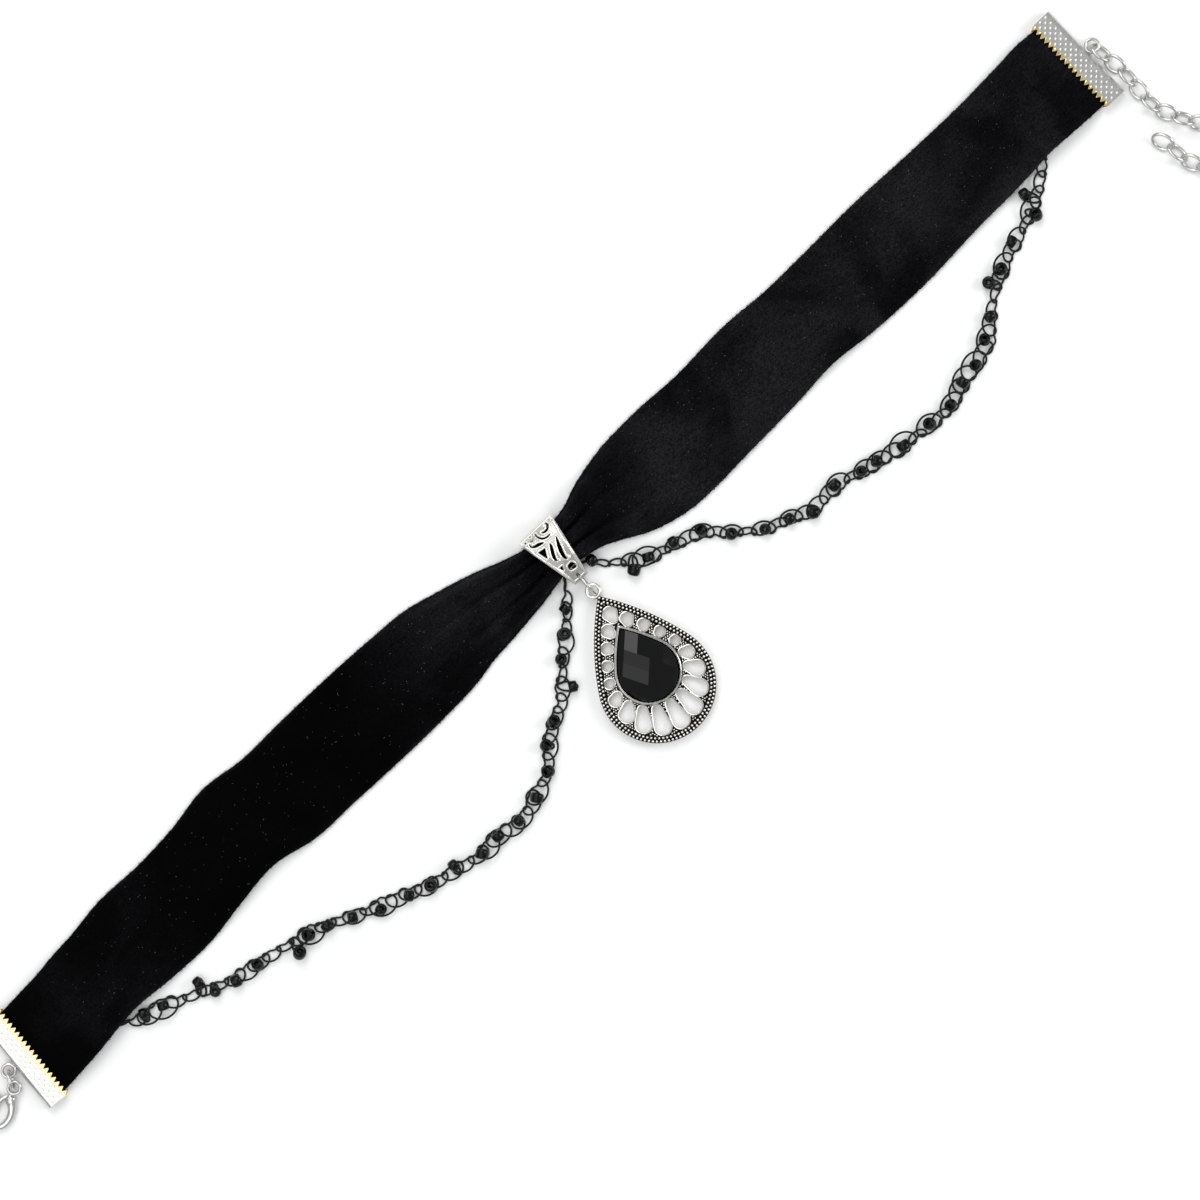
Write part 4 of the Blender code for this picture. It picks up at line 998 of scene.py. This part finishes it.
def pear(size, inset, count):
    """A pear outline set in by a distance, from its tip round, its points equally far apart.

    The round end is a circle; each flank is an arc of the side radius that touches the circle
    and passes through the tip.
    """
    r, reach, cx, cy = pear_arcs(size)
    flank, round_end = size[2] - inset, r - inset
    touch = math.atan2(cy, reach - cx)
    turns = np.linspace(math.pi - math.asin(cy / flank), touch, 90)
    ends = np.linspace(touch, 0, 60)[1:]
    half = np.vstack([
        np.stack([cx + flank * np.cos(turns), -cy + flank * np.sin(turns)], 1),
        np.stack([reach + round_end * np.cos(ends), round_end * np.sin(ends)], 1)])
    return evenly(np.vstack([half, half[-2:0:-1] * (1, -1)]), count) + (size[3], 0)


OUTER_PEAR = (PEAR_LENGTH, PEAR_WIDTH, PEAR_SIDE, 0.0)
STONE_PEAR = (STONE_LENGTH, STONE_WIDTH, STONE_SIDE, STONE_TIP)


def pear_length(size, inset):
    outline = pear(size, inset, 400)
    return np.linalg.norm(np.roll(outline, -1, 0) - outline, axis=1).sum()


def on_pendant(flat, height):
    """The pendant's own plane turned and set under its ring."""
    axis = np.array([-math.sin(PEAR_TURN), -math.cos(PEAR_TURN)])
    side = np.array([math.cos(PEAR_TURN), -math.sin(PEAR_TURN)])
    place = np.array(PEAR_TIP) + flat[..., :1] * axis + flat[..., 1:2] * side
    return np.concatenate([place, np.broadcast_to(height, flat.shape[:-1])[..., None]], -1)


def petal_table():
    """Each petal's inner and outer middle and its half widths there."""
    far, near = pear(OUTER_PEAR, RIM_WIDTH, PETALS), pear(STONE_PEAR, -GAP - BEZEL_WALL, PETALS)
    space = np.linalg.norm(far - near, axis=1)
    ahead = unit(far - near)

    def beside(points):
        before, after = points - np.roll(points, 1, 0), np.roll(points, -1, 0) - points
        lengths = np.stack([np.linalg.norm(before, axis=1), np.linalg.norm(after, axis=1)])
        cross = np.abs(np.stack([way[:, 0] * ahead[:, 1] - way[:, 1] * ahead[:, 0]
                                 for way in (before, after)]))
        return lengths.min(0), np.maximum(0.4, (cross / lengths).min(0))

    pitch_out, slant_out = beside(far)
    pitch_in, slant_in = beside(near)
    usable = space - PETAL_EDGE / slant_out - PETAL_EDGE / slant_in
    half_out = np.minimum((pitch_out - PETAL_RIB) / 2, usable * slant_out / 2)
    left = (usable - half_out / slant_out) * slant_in
    half_in = np.minimum(np.minimum((pitch_in - PETAL_RIB) / 2, half_out * 0.85), left * 0.95)
    inner = near + ahead * ((half_in + PETAL_EDGE) / slant_in)[:, None]
    outer = far - ahead * ((half_out + PETAL_EDGE) / slant_out)[:, None]
    return inner, outer, half_in, half_out


def petal_outlines(grow):
    """Closed outlines round the petals: a wide arc at the rim and a narrow one at the stone."""
    inner, outer, half_in, half_out = petal_table()
    turn = np.arctan2(*(outer - inner).T[::-1])
    wide = turn[:, None] + np.linspace(-1.5, 1.5, 18)
    narrow = turn[:, None] + np.linspace(1.6, 4.7, 14)
    arcs = []
    for middle, half, angle in ((outer, half_out, wide), (inner, half_in, narrow)):
        round_ = np.stack([np.cos(angle), np.sin(angle)], -1)
        arcs.append(middle[:, None] + (half + grow)[:, None, None] * round_)
    return [even_loop(outline, 56) for outline in np.concatenate(arcs, 1)]


def pear_depth(size, flat):
    """How far inside a pear outline points lie: radius less distance, of flank or round end."""
    r, reach, cx, cy = pear_arcs(size)
    x, y = flat[:, 0] - size[3], np.abs(flat[:, 1])
    on_flank = (reach - cx) * (y + cy) - cy * (x - cx) > 0
    return np.where(on_flank, size[2] - np.hypot(x - cx, y + cy), r - np.hypot(x - reach, y))


def grain_places(pitch):
    """Plate places in staggered rows, clear of the petals, the rim and the bezel."""
    across = np.arange(-PEAR_WIDTH / 2, PEAR_WIDTH / 2, pitch)
    down = np.arange(0, PEAR_LENGTH, pitch * 0.87)
    x, y = np.meshgrid(down, across, indexing="ij")
    y = y + (np.arange(len(down)) % 2)[:, None] * pitch / 2
    flat = np.stack([x.ravel(), y.ravel()], 1)
    inner, outer, half_in, half_out = petal_table()
    reach = outer - inner
    apart = flat[:, None] - inner
    t = np.clip((apart * reach).sum(2) / np.maximum((reach**2).sum(1), 1e-12), 0, 1)
    beyond = np.linalg.norm(apart - t[..., None] * reach, axis=2) - (half_in + t * (half_out - half_in))
    clear = (beyond.min(1) > GRAIN_CLEAR) & (pear_depth(OUTER_PEAR, flat) > RIM_WIDTH + 0.15 * MM)
    return flat[clear & (pear_depth(STONE_PEAR, flat) < -1.0 * MM)]


class CHOKER_OT_pendant(Operator):
    """The pear setting: studded double rim, petal edges, dotted ribs and a smooth bezel"""

    bl_idname = "choker.pendant"
    bl_label = "Pear Setting"

    def execute(self, context):
        sizes = context.scene.choker_sizes
        setting, tone = casting_of("pendant_setting", 0.1 * MM)
        height = points_of(setting.data)[:, 2]
        # The bezel is rubbed bright, the studded top stays dark, and the walls pale toward the foot.
        dark = np.where(height > 2.6 * MM, 0.2, np.where(height < 0.3 * MM, 0.15, 1.1))
        tone.data.foreach_set("value", dark.astype(np.float32))

        parts = []
        for inset, moved in STUD_ROWS:
            count = round(pear_length(OUTER_PEAR, inset) / sizes.stud_pitch)
            line = pear(OUTER_PEAR, inset, count * 2)[moved::2]
            studs = domes(on_pendant(line, RIM_HEIGHT - STUD_SINK), sizes.stud, 6, 10)
            parts.append((studs, False, True, STUD_TONE))
        add_piece("rim_studs", parts, "antique")

        parts = []
        for outline in petal_outlines(0.16 * MM):
            path = on_pendant(outline, PLATE_THICK + WIRE_SINK)
            parts.append((tube(path, sizes.petal_wire, 7, closed=True), True, True, 0.0))
        spots = on_pendant(grain_places(sizes.grain_pitch), PLATE_THICK - WIRE_SINK)
        parts.append((domes(spots, sizes.grain_pitch * 0.43, 6, 8), False, True, STUD_TONE))
        loop = ring_grid(PENDANT_LOOP_PLACE, (1, 0, 0), (0, 1, 0), PENDANT_LOOP, PENDANT_LOOP,
                         LOOP_WIRE + 0.1 * MM)
        parts.append((loop, True, True, 0.0))
        add_piece("petal_edges", parts, "antique")

        lip = [on_pendant(pear(STONE_PEAR, inset * MM, 160), up * MM) for inset, up in BEZEL_LIP]
        band = np.stack(lip, 1)
        add_piece("stone_bezel", [(band, True, True, 0.0)], "bright")
        return {"FINISHED"}


class CHOKER_OT_stone(Operator):
    """The checkerboard-cut black pear stone"""

    bl_idname = "choker.stone"
    bl_label = "Pear Stone"

    def execute(self, context):
        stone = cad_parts["pendant_stone"]
        stone.data.materials.clear()
        stone.data.materials.append(material_of("stone"))
        return {"FINISHED"}


def string_line(route, step):
    """The string's middle on the table, lifted over the bail's back where it passes through."""
    flat = smooth_path(np.array(route) * MM, step)
    edge = (BAIL_NARROW + (BAIL_WIDE - BAIL_NARROW) * (flat[0, 1] - BAIL_END) / BAIL_LENGTH) / 2
    inside = np.clip(1 - (np.abs(flat[:, 0]) - edge) / (2.2 * MM), 0, 1)
    return np.column_stack([flat, inside * BAIL_LIFT])


def crochet_threads(line, along, wide, sizes):
    """Two threads along a string: one thrown into loops, one twisted beside them.

    A loop's point lies width times cos(phase) beside the line, from a place that runs ahead by
    1.15 widths times sin(phase), so that the thread crosses itself.
    """
    ahead = unit(np.gradient(line[:, :2], axis=0))
    side = np.stack([-ahead[:, 1], ahead[:, 0]], 1)

    def beside(at, shift, up):
        spot, lean = sample(at, along, line), sample(at, along, side)
        return spot + np.column_stack([lean * shift[:, None], up])

    place = np.linspace(0, 1, int(along[-1] / LOOP_PITCH) * 34) * along[-1]
    phase = 2 * math.pi * place / LOOP_PITCH
    shift = np.interp(place, along, wide)
    at = np.clip(place + 1.15 * shift * np.sin(phase), 0, along[-1])
    up = sizes.thread * 1.4 + 0.25 * shift * (1 + np.sin(phase + 0.9))
    loops = beside(at, shift * np.cos(phase), up)
    at = np.linspace(0, along[-1], int(along[-1] / TWIST_STEP))
    twist = at / TWIST
    shift = np.interp(at, along, wide) * -0.8 + 0.16 * MM * np.sin(twist)
    beaten = beside(at, shift, sizes.thread * 1.5 + 0.12 * MM * (1 + np.cos(twist)))
    return tube(loops, sizes.thread, 6), tube(beaten, sizes.thread * 0.95, 6)


def tie_loops(line, centres, sizes):
    """A small loop ties each bead that lies off the string to its nearest place."""
    near = line[np.linalg.norm(line[:, None, :2] - centres, axis=2).argmin(0)]
    apart = centres - near[:, :2]
    t = full_turn(24)[:, None]
    loops = []
    for spot, way, gap in zip(near, unit(apart), np.linalg.norm(apart, axis=1)):
        if gap < TIE_GAP:
            continue
        long, broad = gap / 2 + TIE_PAST, TIE_HALF + gap / 8
        flat = (spot[:2] + way * (gap / 2 + long * np.cos(t))
                + np.array([-way[1], way[0]]) * broad * np.sin(t))
        up = spot[2] + sizes.thread * 1.3 + 0.5 * MM * (1 + np.cos(t)) * (gap < 2 * MM)
        loops.append(tube(np.hstack([flat, up]), sizes.thread, 6, closed=True))
    return loops


def bead_grids(centres, chance, sizes):
    """Seed beads lying on the table, squat barrels turned about their holes.

    The glass's section is an oval with its cosine and sine raised to the power 0.75, which
    squares it a little.
    """
    turn, b = full_turn(26)[:, None], full_turn(14)
    out, up = (np.sign(wave) * np.abs(wave) ** 0.75 for wave in (np.cos(b), np.sin(b)))
    ring = (sizes.bead - BEAD_HOLE) / 2
    radius, height = BEAD_HOLE + ring + ring * out, sizes.bead_length / 2 * up
    grids = []
    for x, y in centres:
        scale = chance.uniform(0.88, 1.04)
        heading = chance.uniform(0, math.pi)
        tip = chance.choice([0.0, 0.25, 0.9, 1.35])
        c, s = math.cos(heading), math.sin(heading)
        axis = np.array([c * math.cos(tip), s * math.cos(tip), math.sin(tip)])
        u = np.array([-s, c, 0])
        around = np.cos(turn) * u + np.sin(turn) * np.cross(axis, u)
        grid = scale * (radius[None, :, None] * around[:, None] + height[None, :, None] * axis)
        grids.append(grid - (0, 0, grid[..., 2].min() - 0.02 * MM) + (x, y, 0))
    return np.array(grids)


class CHOKER_OT_strings(Operator):
    """Both crocheted strings with their seed beads"""

    bl_idname = "choker.strings"
    bl_label = "Beaded Strings"

    def execute(self, context):
        sizes = context.scene.choker_sizes
        for name, (route, beads, seed) in STRINGS.items():
            chance = np.random.default_rng(seed)
            line = string_line(route, STRING_STEP)
            along = np.arange(len(line)) * STRING_STEP
            centres = np.array(beads) * MM
            # Loops swell round each bead and shrink to a narrow chain between them.
            reach = np.linalg.norm(line[:, None, :2] - centres, axis=2).min(1)
            knots = np.arange(0, along[-1] + LOOP_PITCH, LOOP_PITCH)
            swell = np.interp(along, knots, chance.uniform(0.45, 1.4, len(knots)))
            wide = (0.85 + 0.9 * np.exp(-((reach / SWELL_REACH) ** 2))) * swell * MM
            clear = np.minimum(along - BARE_START, along[-1] - along - BARE_END)
            wide = wide * np.clip(clear / OPENING, 0, 1) + BARE_CHAIN
            threads = crochet_threads(line, along, wide, sizes)
            parts = [(grid, False, True, 0.0) for grid in threads]
            parts += [(grid, True, True, 0.0) for grid in tie_loops(line, centres, sizes)]
            crochet = add_piece("crochet_thread_" + name, parts, "thread")
            grids = bead_grids(centres, chance, sizes)
            glass = add_piece("seed_beads_" + name, [(grids, True, True, 0.0)], "bead")
            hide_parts("beaded_string_" + name)
            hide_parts("beaded_string_" + name)
        return {"FINISHED"}


class CHOKER_OT_stage(Operator):
    """The white table, the studio lamps and the camera straight above"""

    bl_idname = "choker.stage"
    bl_label = "Stage"

    def execute(self, context):
        scene = context.scene
        finish = scene.choker_finishes
        # The photograph is a plain one, so white stays white.
        scene.view_settings.view_transform = "Standard"
        side = np.linspace(-2.0, 2.0, 3)
        grid = np.stack([*np.meshgrid(side, side), np.zeros((3, 3))], -1)
        mesh = bpy.data.meshes.new("white_table")
        mesh.from_pydata(grid.reshape(-1, 3).tolist(), [], grid_faces((3, 3), False, False, 0).tolist())
        table = bpy.data.objects.new("white_table", mesh)
        mesh.materials.append(new_material("Matt white laminate", {
            "Base Color": rgba(finish.table), "Roughness": 0.7, "Specular IOR Level": 0.2})[0])
        scene.collection.objects.link(table)

        world = bpy.data.worlds.new("Light tent")
        world.use_nodes = True
        sky = world.node_tree.nodes["Background"]
        sky.inputs["Color"].default_value = rgba(linear(TENT_COLOUR))
        sky.inputs["Strength"].default_value = TENT_STRENGTH
        scene.world = world

        middle = Vector((*VIEW_MIDDLE, 0.0))
        right = Vector((math.cos(VIEW_TURN), math.sin(VIEW_TURN), 0))
        top = Vector((-math.sin(VIEW_TURN), math.cos(VIEW_TURN), 0))
        for name, (sideways, upwards, height, width, long, watts, aimed) in LAMPS.items():
            light = bpy.data.lights.new(name, "AREA")
            light.shape = "RECTANGLE"
            light.size, light.size_y = width, long
            light.energy = watts
            lamp = bpy.data.objects.new(name, light)
            lamp.location = middle + right * sideways + top * upwards + Vector((0, 0, height))
            lamp.rotation_euler = (0, 0, VIEW_TURN)
            if aimed:
                lamp.rotation_euler = (middle - lamp.location).to_track_quat("-Z", "Y").to_euler()
            scene.collection.objects.link(lamp)

        lens = bpy.data.cameras.new("camera_above")
        lens.sensor_width = 36.0
        lens.lens = 36.0 * VIEW_DISTANCE / VIEW_SIDE
        lens.clip_start = 0.01
        camera = bpy.data.objects.new("camera_above", lens)
        camera.location = middle + Vector((0, 0, VIEW_DISTANCE))
        camera.rotation_euler = (0, 0, VIEW_TURN)
        scene.collection.objects.link(camera)
        scene.camera = camera
        return {"FINISHED"}


PIECES = (CHOKER_OT_ribbon, CHOKER_OT_crimps, CHOKER_OT_rings, CHOKER_OT_clasp, CHOKER_OT_bail,
          CHOKER_OT_pendant, CHOKER_OT_stone, CHOKER_OT_strings, CHOKER_OT_stage)


class CHOKER_PT_panel(Panel):
    """Lists the choker's pieces with their sizes and colours"""

    bl_idname = "CHOKER_PT_panel"
    bl_label = "Choker"
    bl_space_type = "VIEW_3D"
    bl_region_type = "UI"
    bl_category = "Choker"

    def draw(self, context):
        for group in (context.scene.choker_sizes, context.scene.choker_finishes):
            box = self.layout.box()
            for name in group.bl_rna.properties.keys():
                if name not in {"rna_type", "name"}:
                    box.prop(group, name)
        for piece in PIECES:
            self.layout.operator(piece.bl_idname)


CLASSES = (ChokerSizes, ChokerFinishes, *PIECES, CHOKER_PT_panel)


def register():
    for item in CLASSES:
        bpy.utils.register_class(item)
    bpy.types.Scene.choker_sizes = PointerProperty(type=ChokerSizes)
    bpy.types.Scene.choker_finishes = PointerProperty(type=ChokerFinishes)


def unregister():
    del bpy.types.Scene.choker_finishes
    del bpy.types.Scene.choker_sizes
    for item in reversed(CLASSES):
        bpy.utils.unregister_class(item)


def main():
    register()
    for piece in PIECES:
        family, name = piece.bl_idname.split(".")
        getattr(getattr(bpy.ops, family), name)()


if __name__ == "__main__":
    main()
